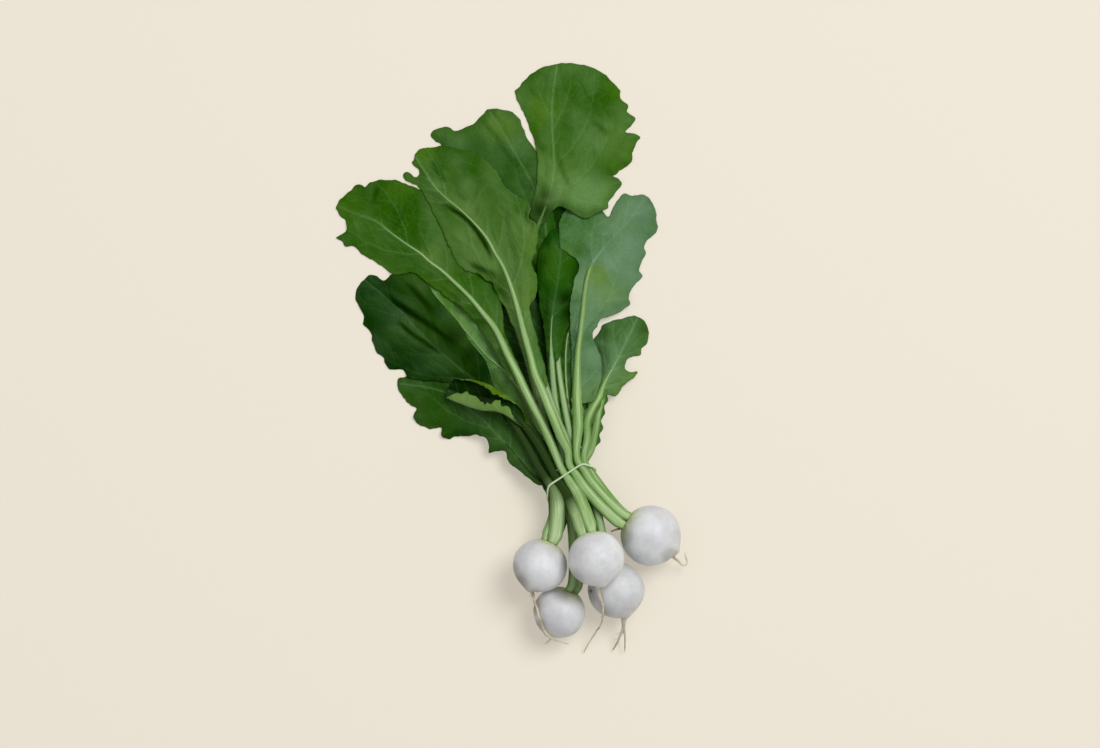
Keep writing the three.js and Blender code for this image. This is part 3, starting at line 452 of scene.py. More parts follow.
# ---------------------------------------------------------------- mesh output
def make_object(name, verts_mm, faces, attrs=None, vattrs=None, mats=(), face_mat=None, smooth=True):
    me = bpy.data.meshes.new(name)
    V = np.asarray(verts_mm, float) * 0.001
    me.from_pydata(V.tolist(), [], faces)
    me.validate()
    for k, v in (attrs or {}).items():
        a = me.attributes.new(k, "FLOAT", "POINT")
        a.data.foreach_set("value", np.asarray(v, np.float32))
    for k, v in (vattrs or {}).items():
        a = me.attributes.new(k, "FLOAT_VECTOR", "POINT")
        a.data.foreach_set("vector", np.asarray(v, np.float32).ravel())
    for m in mats:
        me.materials.append(m)
    if face_mat is not None:
        me.polygons.foreach_set("material_index", np.asarray(face_mat, np.int32))
    if smooth:
        me.polygons.foreach_set("use_smooth", np.ones(len(me.polygons), bool))
    me.update()
    ob = bpy.data.objects.new(name, me)
    scene.collection.objects.link(ob)
    return ob


def outward(verts, faces):
    """Turns all faces over if the closed mesh's volume is negative."""
    V = np.asarray(verts)
    vol = 0.0
    for f in faces:
        a = V[f[0]]
        for i in range(1, len(f) - 1):
            vol += float(np.dot(a, np.cross(V[f[i]], V[f[i + 1]])))
    if vol < 0:
        return [tuple(reversed(f)) for f in faces]
    return faces


# ---------------------------------------------------------------- height map
G0 = np.array([-170.0, -275.0])
GN = (360, 560)
topmap = np.zeros(GN)


def cell(pts):
    c = np.floor(pts[:, :2] - G0).astype(int)
    c[:, 0] = np.clip(c[:, 0], 1, GN[0] - 2)
    c[:, 1] = np.clip(c[:, 1], 1, GN[1] - 2)
    return c


def under(pts):
    """Height of what has been laid at each point, the most of the cells around it."""
    c = cell(pts)
    h = np.zeros(len(pts))
    for dx, dy in ((0, 0), (1, 0), (-1, 0), (0, 1), (0, -1)):
        h = np.maximum(h, topmap[c[:, 0] + dx, c[:, 1] + dy])
    return h


def splat(pts, z):
    c = cell(pts)
    for dx, dy in ((0, 0), (1, 0), (-1, 0), (0, 1), (0, -1)):
        np.maximum.at(topmap, (c[:, 0] + dx, c[:, 1] + dy), z)


# ---------------------------------------------------------------- layout tables
ROOTS = {
    "turnip_left": dict(mid=(540.1, 564.6), z=40.2, r=24.2, squash=0.95, up=(0.40, 0.90, -0.12),
        tails=[(1.7, [(531.1, 588.8, 29), (534.1, 598.5, 36), (537.6, 610.2, 40.6), (541.6, 623.2, 39.6), (546.5, 632.8, 35.5), (555.0, 639.6, 28), (563.0, 642.6, 19), (569.0, 644.3, 13)])]),
    "turnip_centre": dict(mid=(595.9, 556.8), z=63.9, r=24.9, squash=0.96, up=(-0.25, 0.93, -0.26),
        tails=[(1.9, [(597.5, 585.8, 56), (599.5, 594.9, 50), (602.2, 604.0, 45.6), (603.1, 612.2, 40), (601.7, 621.7, 29), (597.4, 630.1, 19), (591.9, 638.5, 11), (584.0, 652.8, 3.2)])]),
    "turnip_right": dict(mid=(650.5, 535.2), z=26.8, r=27.0, squash=0.97, up=(-0.863, 0.506, 0.02), flat=True, stubs=[([(628.6, 527.3, 26), (622.6, 528.2, 28), (616.6, 529.1, 29.5), (611.2, 531.2, 29)], 1.3)],
        tails=[(1.8, [(673.4, 556.2, 24), (678.5, 561.3, 20), (684.1, 565.4, 17), (687.6, 563.5, 15), (686.6, 557.5, 14), (684.7, 552.6, 13)])]),
    "turnip_lower_left": dict(mid=(559.6, 612.0), z=23.3, r=23.3, squash=0.96, up=(0.45, 0.86, 0.10), flat=True,
        tails=[(1.6, [(552.0, 636.3, 14), (549.0, 641.5, 10), (545.0, 644.7, 5.5)])]),
    "turnip_lower_right": dict(mid=(616.0, 589.7), z=25.0, r=25.1, squash=0.97, up=(-0.36, 0.93, 0.02), flat=True, spot=(590.7, 590.4),
        tails=[(2.2, [(623.7, 619.0, 22), (623.4, 628.2, 17), (619.9, 637.5, 11), (613.4, 650.8, 3.5)]),
               (1.5, [(623.3, 623.1, 20), (625.4, 637.4, 12), (624.9, 652.8, 4.5)])]),
}
PROFILE = [(0, 0.925), (0.2, 0.93), (0.34, 0.925), (0.47, 0.875), (0.63, 0.775), (0.785, 0.62), (0.905, 0.42),
           (0.975, 0.2), (1.0, -0.03), (0.975, -0.26), (0.89, -0.48), (0.75, -0.67), (0.57, -0.83), (0.37, -0.95), (0.2, -1.03), (0.09, -1.09), (0, -1.12)]

TIE_MID = (571.5, 484)
TIE_ACROSS = np.array([0.837, 0.548]); TIE_ACROSS /= np.linalg.norm(TIE_ACROSS)
TIE_ALONG = np.array([-TIE_ACROSS[1], TIE_ACROSS[0]])
TIE_Z, TIE_ROW, TIE_LEAN, TIE_R = 25.0, 7.1, 0.62, 0.9

LEAVES = [
    dict(name='leaf_under_left', lean=-3, slot=[-16, -1], root='turnip_left', seat=[3.2, -4.2], r=3.2, hold=200,
         rib=[[476, 238], [488, 262], [498, 285], [508, 308], [517, 332], [525, 355], [532, 378], [540, 405], [548, 432], [553, 456]],
         edge=[[470, 235], [485, 228], [500, 235], [512, 250], [520, 270], [527, 295], [531, 320], [534, 345], [538, 368], [542, 390], [543, 404], [537, 408], [529, 396], [519, 378], [507, 352], [497, 328], [487, 312], [478, 295], [470, 278], [464, 260], [463, 245]]),
    dict(name='leaf_under_middle', slot=[-8, -1], root='turnip_lower_left', seat=[3.6, -3.6], r=3.3, hold=240,
         rib=[[520, 150], [528, 180], [536, 210], [542, 245], [545, 285], [547, 325], [550, 365], [554, 405], [559, 440], [562, 462]],
         edge=[[512, 148], [528, 147], [540, 160], [549, 180], [556, 205], [561, 235], [563, 265], [562, 295], [561, 325], [562, 350], [564, 375], [568, 400], [568, 420], [560, 425], [550, 410], [540, 388], [531, 358], [525, 328], [521, 300], [518, 270], [515, 240], [510, 210], [506, 180], [506, 160]]),
    dict(name='leaf_slit', slot=[0, -1], root='turnip_lower_right', seat=[-4, -4.2], r=3.3, hold=230,
         rib=[[550, 190], [552, 215], [551, 240], [550, 270], [551, 300], [554, 340], [559, 380], [565, 415], [570, 445], [570, 462]],
         edge=[[542, 190], [556, 185], [566, 190], [572, 205], [574, 225], [571, 250], [567, 275], [564, 300], [564, 322], [568, 345], [571, 370], [575, 395], [577, 415], [569, 422], [561, 405], [554, 380], [549, 358], [544, 338], [541, 320], [537, 300], [535, 275], [535, 250], [537, 225], [539, 203]]),
    dict(name='leaf_under_right', slot=[8, -1], root='turnip_lower_right', seat=[4, -4.4], r=3.0, hold=200,
         rib=[[600, 224], [594, 255], [587, 285], [578, 314], [569, 331], [566, 350], [566, 380], [569, 410], [574.5, 435], [578, 455]],
         edge=[[592, 220], [603, 220], [611, 229], [612, 245], [607, 265], [601, 285], [593, 305], [587, 320], [585, 340], [587, 360], [589, 380], [592, 402], [593, 420], [590, 438], [582, 446], [575, 440], [569, 420], [562, 385], [560, 360], [562, 335], [567, 315], [569, 300], [571, 280], [575, 260], [581, 240], [586, 228]]),
    dict(name='leaf_edge_right', slot=[16, -1], root='turnip_right', seat=[-4, -4.4], r=3.1, hold=150,
         rib=[[628, 333], [620, 350], [611, 370], [604, 390], [599, 410], [595, 432], [591, 450]],
         edge=[[622, 330], [631, 330], [638, 338], [636, 346], [627, 352], [621, 362], [615, 374], [609, 386], [604, 397], [598, 396], [600, 384], [604, 370], [607, 356], [610, 342], [614, 335]]),
    dict(name='leaf_behind_left', slot=[-12, 0], root='turnip_lower_left', seat=[-2, 3.6], r=3.3, hold=190,
         rib=[[423, 278], [437, 297], [452, 316], [468, 334], [486, 355], [505, 371], [519, 388], [532, 412], [543, 440], [550, 462]],
         edge=[[419, 276], [430, 274], [440, 277], [451, 283], [462, 291], [473, 301], [484, 312], [493, 325], [501, 340], [508, 355], [516, 370], [527, 390], [537, 406], [541, 435], [522, 417], [507, 400], [488, 381], [476, 372], [464, 362], [453, 350], [443, 335], [433, 318], [424, 300], [418, 286]]),
    dict(name='leaf_low_left_small', lean=-4.6, slot=[-20, 0], root='turnip_left', seat=[-4.4, -0.5], r=3.2, hold=170,
         rib=[[400, 384], [418, 386], [437, 390], [457, 397], [469, 409], [483, 420], [495, 433], [508, 446], [520, 460], [530, 472], [538, 484]],
         edge=[[402, 378], [398, 379], [397, 386], [400.5, 395], [409.5, 405], [416, 408], [413, 417], [417.5, 424], [425, 427.5], [430, 429], [441, 428], [441, 435.5], [448, 439], [456, 437], [465, 437], [478, 435.5], [487, 440], [489, 446], [488.5, 454], [496, 452], [505, 452], [507, 459], [514, 467], [520, 471], [528, 478], [541, 485], [549, 473], [549, 455], [541, 436], [529, 421], [517, 408], [503, 398], [487, 390], [470, 381], [454, 377.5], [440, 374.5], [425, 375], [412, 375]]),
    dict(name='leaf_low_left', lean=-4.2, slot=[-16, 1], root='turnip_left', seat=[1.6, 4.4], r=3.6, hold=220,
         rib=[[364, 280], [371, 286], [380, 293], [391, 303], [403, 314], [415, 328], [429, 342], [446, 357], [461, 370], [478, 384], [495, 400], [511, 420], [526, 444], [538, 466], [546, 480]],
         edge=[[368, 274], [373, 274], [379, 277], [383, 280], [390, 275], [402, 270], [412, 271], [420, 276], [429, 288], [438, 300], [447, 310], [456, 320], [464, 332], [471, 344], [480, 354], [486, 363], [490, 375], [494, 388], [488, 396], [478, 392], [470, 387], [458, 383], [440, 381.5], [424, 380.5], [408, 379], [403, 370], [396, 369], [389, 369], [384.5, 364], [382, 357], [375, 352], [371, 340], [370, 332], [362, 324.5], [363, 316], [359, 307.5], [355, 299], [356, 288], [361, 281]]),
    dict(name='leaf_tip_middle', slot=[12, 0], root='turnip_lower_right', seat=[3.6, 2.2], r=3.1, hold=290,
         rib=[[490, 112], [499, 125], [507, 139], [518, 158], [530, 179], [537, 194], [543, 212], [547, 240], [550, 270], [553, 300], [556, 340], [560, 380], [566, 415], [572, 445], [574, 460]],
         edge=[[431, 134], [436, 128], [444, 126], [450, 127], [454, 130], [466, 126], [474, 123.5], [479, 118], [485, 110.5], [489, 108], [500, 109], [510, 111], [519, 118], [523, 127], [529, 140], [535, 148], [541, 160], [545, 175], [549, 195], [554, 215], [558, 240], [559, 262], [558, 285], [556, 305], [549, 306], [541, 298], [532, 280], [520, 262], [505, 245], [490, 228], [472, 210], [455, 190], [442, 170], [436, 155], [441, 144.5], [435, 140]]),
    dict(name='leaf_inner', slot=[-4, 0], root='turnip_centre', seat=[0, -5], r=3.3, hold=210,
         rib=[[561, 240], [560, 262], [557, 285], [553, 310], [551, 335], [552, 365], [555, 400], [560, 432], [563, 458]],
         edge=[[546, 236], [555, 228], [567, 225], [579, 230], [587, 242], [591, 258], [591, 276], [588, 292], [581, 305], [572, 318], [565, 334], [561, 350], [556, 362], [549, 358], [545, 342], [542, 322], [539, 303], [537, 282], [537, 262], [540, 247]]),
    dict(name='leaf_curled', slot=[-8, 1], root='turnip_centre', seat=[-6, 1.6], r=3.6, hold=150,
         rib=[[447, 390], [458, 394], [472, 397], [488, 400], [503, 406], [516, 416], [529, 431], [541, 449], [550, 466]],
         edge=[[448, 386], [455, 380], [463, 376], [472, 374], [481, 375], [492, 378], [503, 384], [511, 392], [517, 403], [523, 412], [528, 423], [523, 427], [514, 421], [503, 415], [490, 411], [475, 408], [462, 403], [452, 397]]),
    dict(name='leaf_low_right', slot=[20, 0], root='turnip_right', seat=[5, -4.2], r=3.3, hold=170,
         rib=[[637, 319], [631, 332], [625, 344], [618, 358], [611, 371], [604, 384], [599, 397], [592, 409], [587, 422], [587, 438], [591, 454]],
         edge=[[603, 324], [610, 321], [619, 319], [628, 316], [636, 316], [644, 320], [648, 329], [649, 336], [647, 344], [642, 348], [641, 355], [629, 358], [625, 369], [630, 372], [637.5, 372], [633, 378.5], [623, 386], [616, 395], [608, 395], [601, 398], [596, 395], [596, 385], [599, 366], [596, 350], [593, 342], [597, 335], [600, 329]]),
    dict(name='leaf_right', slot=[16, 1], root='turnip_right', seat=[4.1, 4], r=3.4, hold=260,
         rib=[[643, 200], [632, 216], [617, 233], [603, 249], [592, 264], [587, 279], [584.5, 295], [583, 311], [581, 329], [578, 352], [577, 380], [577, 402], [578, 425], [583, 450]],
         edge=[[608.6, 216], [614, 207], [619, 199], [625, 193], [633, 194.5], [643, 194], [650.5, 199], [656, 209], [657, 219.5], [657, 232], [650.5, 238], [645, 247], [646, 252], [642, 260], [640, 270], [643, 276], [633, 287], [629, 297], [631, 303], [625, 309], [614, 315.5], [601, 319], [596, 327], [593, 333], [596, 345], [600, 356], [601, 372], [599, 388], [594, 400], [585, 404], [575, 398], [571, 372], [571, 355], [570, 335], [570, 315], [571, 295], [574, 280], [579, 267], [576, 259], [568, 254], [560, 248], [559, 235], [560, 220], [566, 210], [575, 205], [585, 203], [600, 207]]),
    dict(name='leaf_tip_right', slot=[4, 0], root='turnip_lower_right', seat=[-4, 3.8], r=2.6, hold=340,
         rib=[[557, 65], [554, 85], [552, 105], [552, 122], [553, 141], [554, 160], [553, 178], [549, 196], [543, 213], [536, 230], [530, 250], [527, 272], [526, 295], [528, 318], [533, 342], [541, 370], [550, 398], [560, 424], [569, 447], [576, 462]],
         edge=[[516, 98], [526, 117], [529, 127], [535, 146], [538, 160], [537, 178], [535, 192], [531, 206], [530, 218], [536, 226], [545, 222], [552, 212], [559.5, 206], [566, 208], [573, 212], [583, 218], [592.5, 215], [601, 210], [608.6, 207], [609.5, 201], [616, 192], [621.5, 183], [617, 177.5], [610, 175], [616, 174], [620, 169.5], [632, 160], [632, 152], [636, 144.5], [641, 136], [632, 132], [626, 131], [632, 125], [636, 117], [627, 111], [628, 105], [621, 97], [620, 88], [612, 80], [604, 72], [592, 66], [578, 63], [564, 62], [552, 64], [540, 68], [529, 75], [520, 84], [514, 91]]),
    dict(name='leaf_left_big', slot=[0, 1], root='turnip_centre', seat=[2.4, 3.8], r=3.6, hold=300,
         rib=[[338, 206], [352, 212], [364, 216], [376, 221], [387.5, 230], [398, 238], [408, 245], [420, 253], [430, 262], [441, 270], [453, 281], [469.5, 297], [482, 312], [494, 327], [502, 342], [507, 353], [516, 371], [525, 390], [533, 406], [541, 421], [548, 436], [555, 453], [562, 467]],
         edge=[[414, 187], [409, 185], [401, 181], [392, 179], [382, 179], [370.5, 181.5], [364, 187], [361, 185.5], [356, 185], [350, 189], [342, 196], [335, 205], [337, 212], [341, 217], [344, 219], [345, 231], [335, 237], [341, 241], [344, 247], [352, 246], [365, 256], [379, 265], [390, 274], [401, 274.5], [412.5, 273], [425, 281], [440, 293], [455, 303], [468, 314], [480, 328], [491, 345], [501, 361], [513, 380], [519, 372], [512, 352], [506, 335], [503, 318], [500, 300], [493, 285], [487, 268], [480, 250], [470, 232], [458, 215], [443, 200], [430, 192]]),
    dict(name='leaf_spine', slot=[8, 1], root='turnip_right', seat=[-4, 4.3], r=3.6, hold=290,
         rib=[[415, 156], [424, 170], [433, 184], [443, 195], [462, 211], [478, 227], [488, 240], [495, 253], [502.5, 265.5], [509, 281], [514, 296], [518.6, 312], [523, 329], [527.5, 345], [531, 358], [535, 374], [541, 388], [548, 405], [555, 422], [561, 437], [568, 451], [575, 463]],
         edge=[[441, 146], [452, 147], [463, 149], [474, 152], [484, 158], [493, 168], [502, 181], [510, 191], [519, 196], [527, 200], [531, 208], [530, 217], [537, 224], [538, 236], [536, 250], [531, 262], [536, 274], [537, 288], [534, 299], [530, 306], [531, 318], [536, 332], [540, 350], [545, 368], [547, 385], [540, 390], [532, 374], [524, 352], [515, 330], [507, 312], [500, 300], [495, 290], [493, 282.5], [485, 280], [479, 274], [467, 271], [458, 263], [450, 250], [444, 236], [438, 222], [430, 206], [421, 190], [416, 184], [411, 183], [406, 180], [403, 175], [405, 172], [409, 173], [414, 177], [418, 176], [419, 169], [414, 165], [411, 161], [413, 159], [415, 153], [421, 148], [430, 147]]),
]


def tie_slot(u, row, along=0.0):
    m = plan(TIE_MID)
    w = row * TIE_ROW
    q = m + TIE_ACROSS * u + TIE_ALONG * (along + w * TIE_LEAN)
    return np.array([q[0], q[1], TIE_Z + w])


def root_frame(r):
    m = plan(r["mid"])
    c = np.array([m[0], m[1], r["z"]])
    up = np.array(r["up"], float)
    up /= np.linalg.norm(up)
    right = np.array([up[1], -up[0], 0.0])
    right /= np.linalg.norm(right)
    return c, up, right, np.cross(right, up)


# ---------------------------------------------------------------- the CAD pieces, in mm
CAD = {}
for nm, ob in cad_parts.items():
    V = np.array([v.co[:] for v in ob.data.vertices]) * 1000
    F = [tuple(p.vertices) for p in ob.data.polygons]
    CAD[nm] = (V, BVHTree.FromPolygons([tuple(v) for v in V], F))


def cad_heights(name, pts):
    """Upper and lower height of a CAD piece at each plan point, nan where it has none."""
    bvh = CAD[name][1]
    up = np.full(len(pts), np.nan)
    lo = np.full(len(pts), np.nan)
    for k, p in enumerate(pts):
        h = bvh.ray_cast((p[0], p[1], 300.0), (0, 0, -1))
        if h[0] is not None:
            up[k] = h[0].z
            lo[k] = bvh.ray_cast((p[0], p[1], -50.0), (0, 0, 1))[0].z
    return up, lo


def fill_nan(pts, z):
    ok = ~np.isnan(z)
    if ok.all():
        return z
    kd = kd_of(pts[ok][:, :2])
    i, _ = nearest(kd, pts[~ok][:, :2])
    z = z.copy()
    z[~ok] = z[ok][i]
    return z


def relax(z, ea, eb, n, rounds, lock=None, floor=None):
    """Evens the heights out over the mesh, never below the floor."""
    deg = np.bincount(ea, minlength=n) + np.bincount(eb, minlength=n)
    deg = np.maximum(deg, 1)
    for _ in range(rounds):
        s = np.bincount(ea, weights=z[eb], minlength=n) + np.bincount(eb, weights=z[ea], minlength=n)
        w = 0.5 * z + 0.5 * s / deg
        if lock is not None:
            w = w * (1 - lock) + z * lock
        if floor is not None:
            w = np.maximum(w, floor)
        z = w
    return z


# ---------------------------------------------------------------- stalk, from the crown to the tip
def stalk_path(leaf):
    r = ROOTS[leaf["root"]]
    c, up, right, over = root_frame(r)
    crown = 0.93 * r["r"] * r["squash"]
    foot = c + up * (crown + 0.3) + right * leaf["seat"][0] + over * leaf["seat"][1]
    seat = c + up * (crown + 0.5) + right * leaf["seat"][0] + over * leaf["seat"][1]
    out = seat + up * 7
    u, row = leaf["slot"]
    lean = np.array([*(TIE_ACROSS * leaf.get("lean", 0.0)), 0.0])
    held = [seat, out, tie_slot(u, row, -13) + lean, tie_slot(u, row, 0), tie_slot(u, row, 11)]
    free = plans(leaf["rib"])[::-1]
    end = held[4]
    ahead = [p for p in free if (p - end[:2]) @ TIE_ALONG > 8]
    run, last, pts = 0.0, end[:2], []
    for p in ahead:
        run += np.linalg.norm(p - last)
        last = p
        k = min(1.0, max(0.0, run / leaf["hold"]))
        s = k * k * (3 - 2 * k)
        pts.append([p[0], p[1], end[2] * (1 - s) + 1.5 * s])
    line = catmull(held + [np.array(p) for p in pts], per=14)
    line = resample(line, 1.2)
    s = arclen(line)
    tie_at = s[np.argmin(np.linalg.norm(line - end, axis=1))]
    up_, lo_ = cad_heights(leaf["name"], line[:, :2])
    zc = 0.5 * (up_ + lo_)
    zc = fill_nan(line[:, :2], zc)
    w = np.clip((s - tie_at - 4) / 14, 0, 1)
    z = line[:, 2] * (1 - w) + zc * w
    for _ in range(14):                     # evens the facets of the CAD piece out
        zz = z.copy()
        zz[1:-1] = 0.25 * z[:-2] + 0.5 * z[1:-1] + 0.25 * z[2:]
        z = z * (1 - w) + zz * w
    line[:, 2] = z
    return line, s, tie_at, foot


def tube(line, radius, n=14, back_up=False, flat_from=None, groove=0.16, ridges=0.035, phase=0.0, widen=None):
    """Closed tube with fine ridges and a channel along the face side; returns verts, faces, flow."""
    K = len(line)
    tan = np.gradient(line, axis=0)
    tan /= np.linalg.norm(tan, axis=1)[:, None]
    side = np.stack([tan[:, 1], -tan[:, 0], np.zeros(K)], 1)
    side /= np.maximum(np.linalg.norm(side, axis=1), 1e-6)[:, None]
    lift = np.cross(side, tan)
    a = np.arange(n) * 2 * math.pi / n          # 0 is up
    fa = math.pi if back_up else 0.0
    d = np.abs((a - fa + math.pi) % (2 * math.pi) - math.pi)
    prof = 1 + ridges * (np.cos(4 * a + phase) + 0.7 * np.cos(7 * a + 2.3 * phase)) - groove * np.exp(-(d / 0.42) ** 2)
    s = arclen(line)
    V = np.zeros((K, n, 3))
    flow = np.zeros((K, n, 3))
    wd = np.ones(K) if widen is None else widen
    for i in range(n):
        rr = radius * prof[i]
        V[:, i] = line + lift * (rr * math.cos(a[i]))[:, None] + side * (rr * wd * math.sin(a[i]))[:, None]
        flow[:, i, 0], flow[:, i, 1], flow[:, i, 2] = math.cos(a[i]), math.sin(a[i]), s * 0.001
    V = V.reshape(-1, 3)
    flow = flow.reshape(-1, 3)
    F = []
    for k in range(K - 1):
        for i in range(n):
            j = (i + 1) % n
            F.append((k * n + i, k * n + j, (k + 1) * n + j, (k + 1) * n + i))
    c0, c1 = len(V), len(V) + 1
    V = np.vstack([V, line[0] - tan[0] * radius[0] * 0.12, line[-1] + tan[-1] * radius[-1] * 0.7])
    flow = np.vstack([flow, [[0, 0, 0], [0, 0, s[-1] * 0.001]]])
    for i in range(n):
        j = (i + 1) % n
        F.append((j, i, c0))
        F.append(((K - 1) * n + i, (K - 1) * n + j, c1))
    return V, outward(V, F), flow


# ---------------------------------------------------------------- outline and veins of a blade
def blade_outline(leaf, tooth=0.8, seed=0):
    P = catmull(plans(leaf["edge"]), closed=True, per=10)
    P = resample(P, 1.15, closed=True)
    d = np.roll(P, -1, 0) - np.roll(P, 1, 0)
    nrm = np.stack([d[:, 1], -d[:, 0]], 1)
    nrm /= np.linalg.norm(nrm, axis=1)[:, None]
    area = 0.5 * np.sum(P[:, 0] * np.roll(P[:, 1], -1) - np.roll(P[:, 0], -1) * P[:, 1])
    if area < 0:
        nrm = -nrm
    x, y = P[:, 0], P[:, 1]
    t1 = 1 - 2 * np.abs(noise2(x / 6.5, y / 6.5, seed + 3))
    t2 = noise2(x / 2.6, y / 2.6, seed + 9)
    t3 = noise2(x / 15.0, y / 15.0, seed + 5)
    off = tooth * (0.55 * t1 + 0.30 * t2 + 0.9 * t3) - 0.15 * tooth
    return P + nrm * off[:, None]


def blade_veins(rib, poly, seed, gap=(14.0, 20.0), a0=56, a1=34):
    rnd = random.Random(seed)
    kd_edge = kd_of(resample(poly, 0.6, closed=True))
    L = arclen(rib)
    total = L[-1]
    veins = []
    g = 0.5
    lo = poly.min(0) - 1
    nx, ny = (np.ceil((poly.max(0) + 1 - lo) / g)).astype(int)
    gx, gy = np.meshgrid(lo[0] + (np.arange(nx) + 0.5) * g, lo[1] + (np.arange(ny) + 0.5) * g, indexing="ij")
    mask = in_poly(poly, np.stack([gx.ravel(), gy.ravel()], 1)).reshape(nx, ny)
    used = {}

    def inside(p):
        i, j = int((p[0] - lo[0]) / g), int((p[1] - lo[1]) / g)
        return 0 <= i < nx and 0 <= j < ny and mask[i, j]

    def take(p, own):
        used.setdefault((int(p[0] // 1.9), int(p[1] // 1.9)), set()).add(own)

    def clear(p, own):
        i, j = int(p[0] // 1.9), int(p[1] // 1.9)
        for a in (-1, 0, 1):
            for b in (-1, 0, 1):
                if used.get((i + a, j + b), set()) - {own}:
                    return False
        return True

    def grow(p, ang, bend, sgn, maxlen, own, stop=1.3, parent=-1):
        pts = [p.copy()]
        run = 0.0
        ph = rnd.random() * 6
        while run < maxlen:
            st = 1.25
            ang += sgn * bend * st + 0.035 * math.sin(run / 3.1 + ph)
            p = p + st * np.array([math.cos(ang), math.sin(ang)])
            run += st
            if not inside(p):
                break
            _, _, d = kd_edge.find((p[0], p[1], 0))
            if d < stop:
                break
            if run > 3.5 and not clear(p, own):
                break
            pts.append(p.copy())
        return pts

    for side in (1, -1):
        s = total * 0.03 + rnd.uniform(1, 6)
        while s < total * 0.94:
            k = np.searchsorted(L, s)
            k = min(max(k, 1), len(rib) - 1)
            p = rib[k]
            t = rib[min(k + 2, len(rib) - 1)] - rib[max(k - 2, 0)]
            base = math.atan2(t[1], t[0])
            q = s / total
            ang = base + side * math.radians(a0 + (a1 - a0) * q + rnd.uniform(-5, 5))
            own = len(veins)
            pts = grow(p, ang, 0.0105, -side, 95, own)
            if len(pts) > 4:
                veins.append((np.array(pts), 1.0, own))
                for pp in pts:
                    take(pp, own)
                # branches, mostly towards the tip
                n = len(pts)
                at = rnd.randint(5, 9)
                flip = side
                while at < n - 3:
                    tt = pts[at + 1] - pts[at - 1]
                    b = math.atan2(tt[1], tt[0])
                    sg = -flip if rnd.random() < 0.62 else flip
                    pts2 = grow(pts[at], b + sg * math.radians(rnd.uniform(34, 50)), 0.012, -sg, 24, own)
                    if len(pts2) > 4:
                        veins.append((np.array(pts2), 0.5, own))
                        for pp in pts2[2:]:
                            take(pp, own)
                    at += rnd.randint(5, 10)
            s += rnd.uniform(*gap) * (1.0 - 0.25 * q)
    return veins


def blade_mesh(poly, rib, veins, step=1.3, seed=0):
    verts, edges = [], []

    def chain(pts, closed=False):
        o = len(verts)
        for p in pts:
            verts.append(Vector((float(p[0]), float(p[1]))))
        for i in range(len(pts) - 1):
            edges.append((o + i, o + i + 1))
        if closed:
            edges.append((o + len(pts) - 1, o))
        return o

    chain(poly, True)
    inside = rib[in_poly(poly, rib)]
    kd_e = kd_of(poly)
    _, d = nearest(kd_e, inside)
    keep = d > 0.9
    if keep.sum() > 3:
        # the longest unbroken run of the rib inside the outline
        idx = np.flatnonzero(keep)
        runs = np.split(idx, np.flatnonzero(np.diff(idx) > 1) + 1)
        run = max(runs, key=len)
        if len(run) > 2:
            chain(inside[run])
    for v, w, own in veins:
        if len(v) > 2:
            chain(v)
    fixed = np.array([(v.x, v.y) for v in verts])
    kd = kd_of(fixed)
    lo, hi = poly.min(0), poly.max(0)
    pts = []
    rr = np.random.default_rng(seed)
    row = 0
    y = lo[1]
    while y < hi[1]:
        x = np.arange(lo[0] + (0.5 * step if row % 2 else 0), hi[0], step)
        pts.append(np.stack([x, np.full_like(x, y)], 1))
        y += step * 0.866
        row += 1
    pts = np.vstack(pts)
    pts = pts + rr.uniform(-0.18, 0.18, pts.shape) * step
    pts = pts[in_poly(poly, pts)]
    _, d = nearest(kd, pts)
    pts = pts[d > 0.72 * step * 0.85]
    for p in pts:
        verts.append(Vector((float(p[0]), float(p[1]))))
    vo, eo, fo, _, _, _ = delaunay_2d_cdt(verts, edges, [], 1, 1e-4, False)
    V = np.array([(v.x, v.y) for v in vo])
    F = []
    for f in fo:
        if len(f) == 3:
            F.append(tuple(f))
        else:
            for i in range(1, len(f) - 1):
                F.append((f[0], f[i], f[i + 1]))
    F = np.array(F)
    # all counter-clockwise, seen from above
    a, b, c = V[F[:, 0]], V[F[:, 1]], V[F[:, 2]]
    area = (b[:, 0] - a[:, 0]) * (c[:, 1] - a[:, 1]) - (b[:, 1] - a[:, 1]) * (c[:, 0] - a[:, 0])
    F[area < 0] = F[area < 0][:, ::-1]
    F = F[np.abs(area) > 1e-5]
    F = F[in_poly(poly, V[F].mean(1))]
    used = np.unique(F)
    remap = -np.ones(len(V), int)
    remap[used] = np.arange(len(used))
    return V[used], remap[F]


def sheet_solid(P, F, half, back_up):
    """Two skins joined round the margin; returns verts, faces and which skin each vertex is in."""
    n = len(P)
    a, b, c = P[F[:, 0]], P[F[:, 1]], P[F[:, 2]]
    fn = np.cross(b - a, c - a)
    N = np.zeros((n, 3))
    for k in range(3):
        np.add.at(N, F[:, k], fn)
    N /= np.maximum(np.linalg.norm(N, axis=1), 1e-9)[:, None]
    h = half if np.ndim(half) else np.full(n, half)
    top = P + N * h[:, None]
    bot = P - N * h[:, None]
    V = np.vstack([top, bot])
    faces = [tuple(f) for f in F] + [(f[2] + n, f[1] + n, f[0] + n) for f in F]
    cnt = {}
    for f in F:
        for i in range(3):
            e = (int(f[i]), int(f[(i + 1) % 3]))
            cnt[e] = cnt.get(e, 0) + 1
    for (i, j) in list(cnt):
        if (j, i) not in cnt:
            faces.append((i, i + n, j + n, j))
    skin = np.concatenate([np.full(n, 1.0 if back_up else 0.0), np.full(n, 0.0 if back_up else 1.0)])
    return V, faces, skin, N


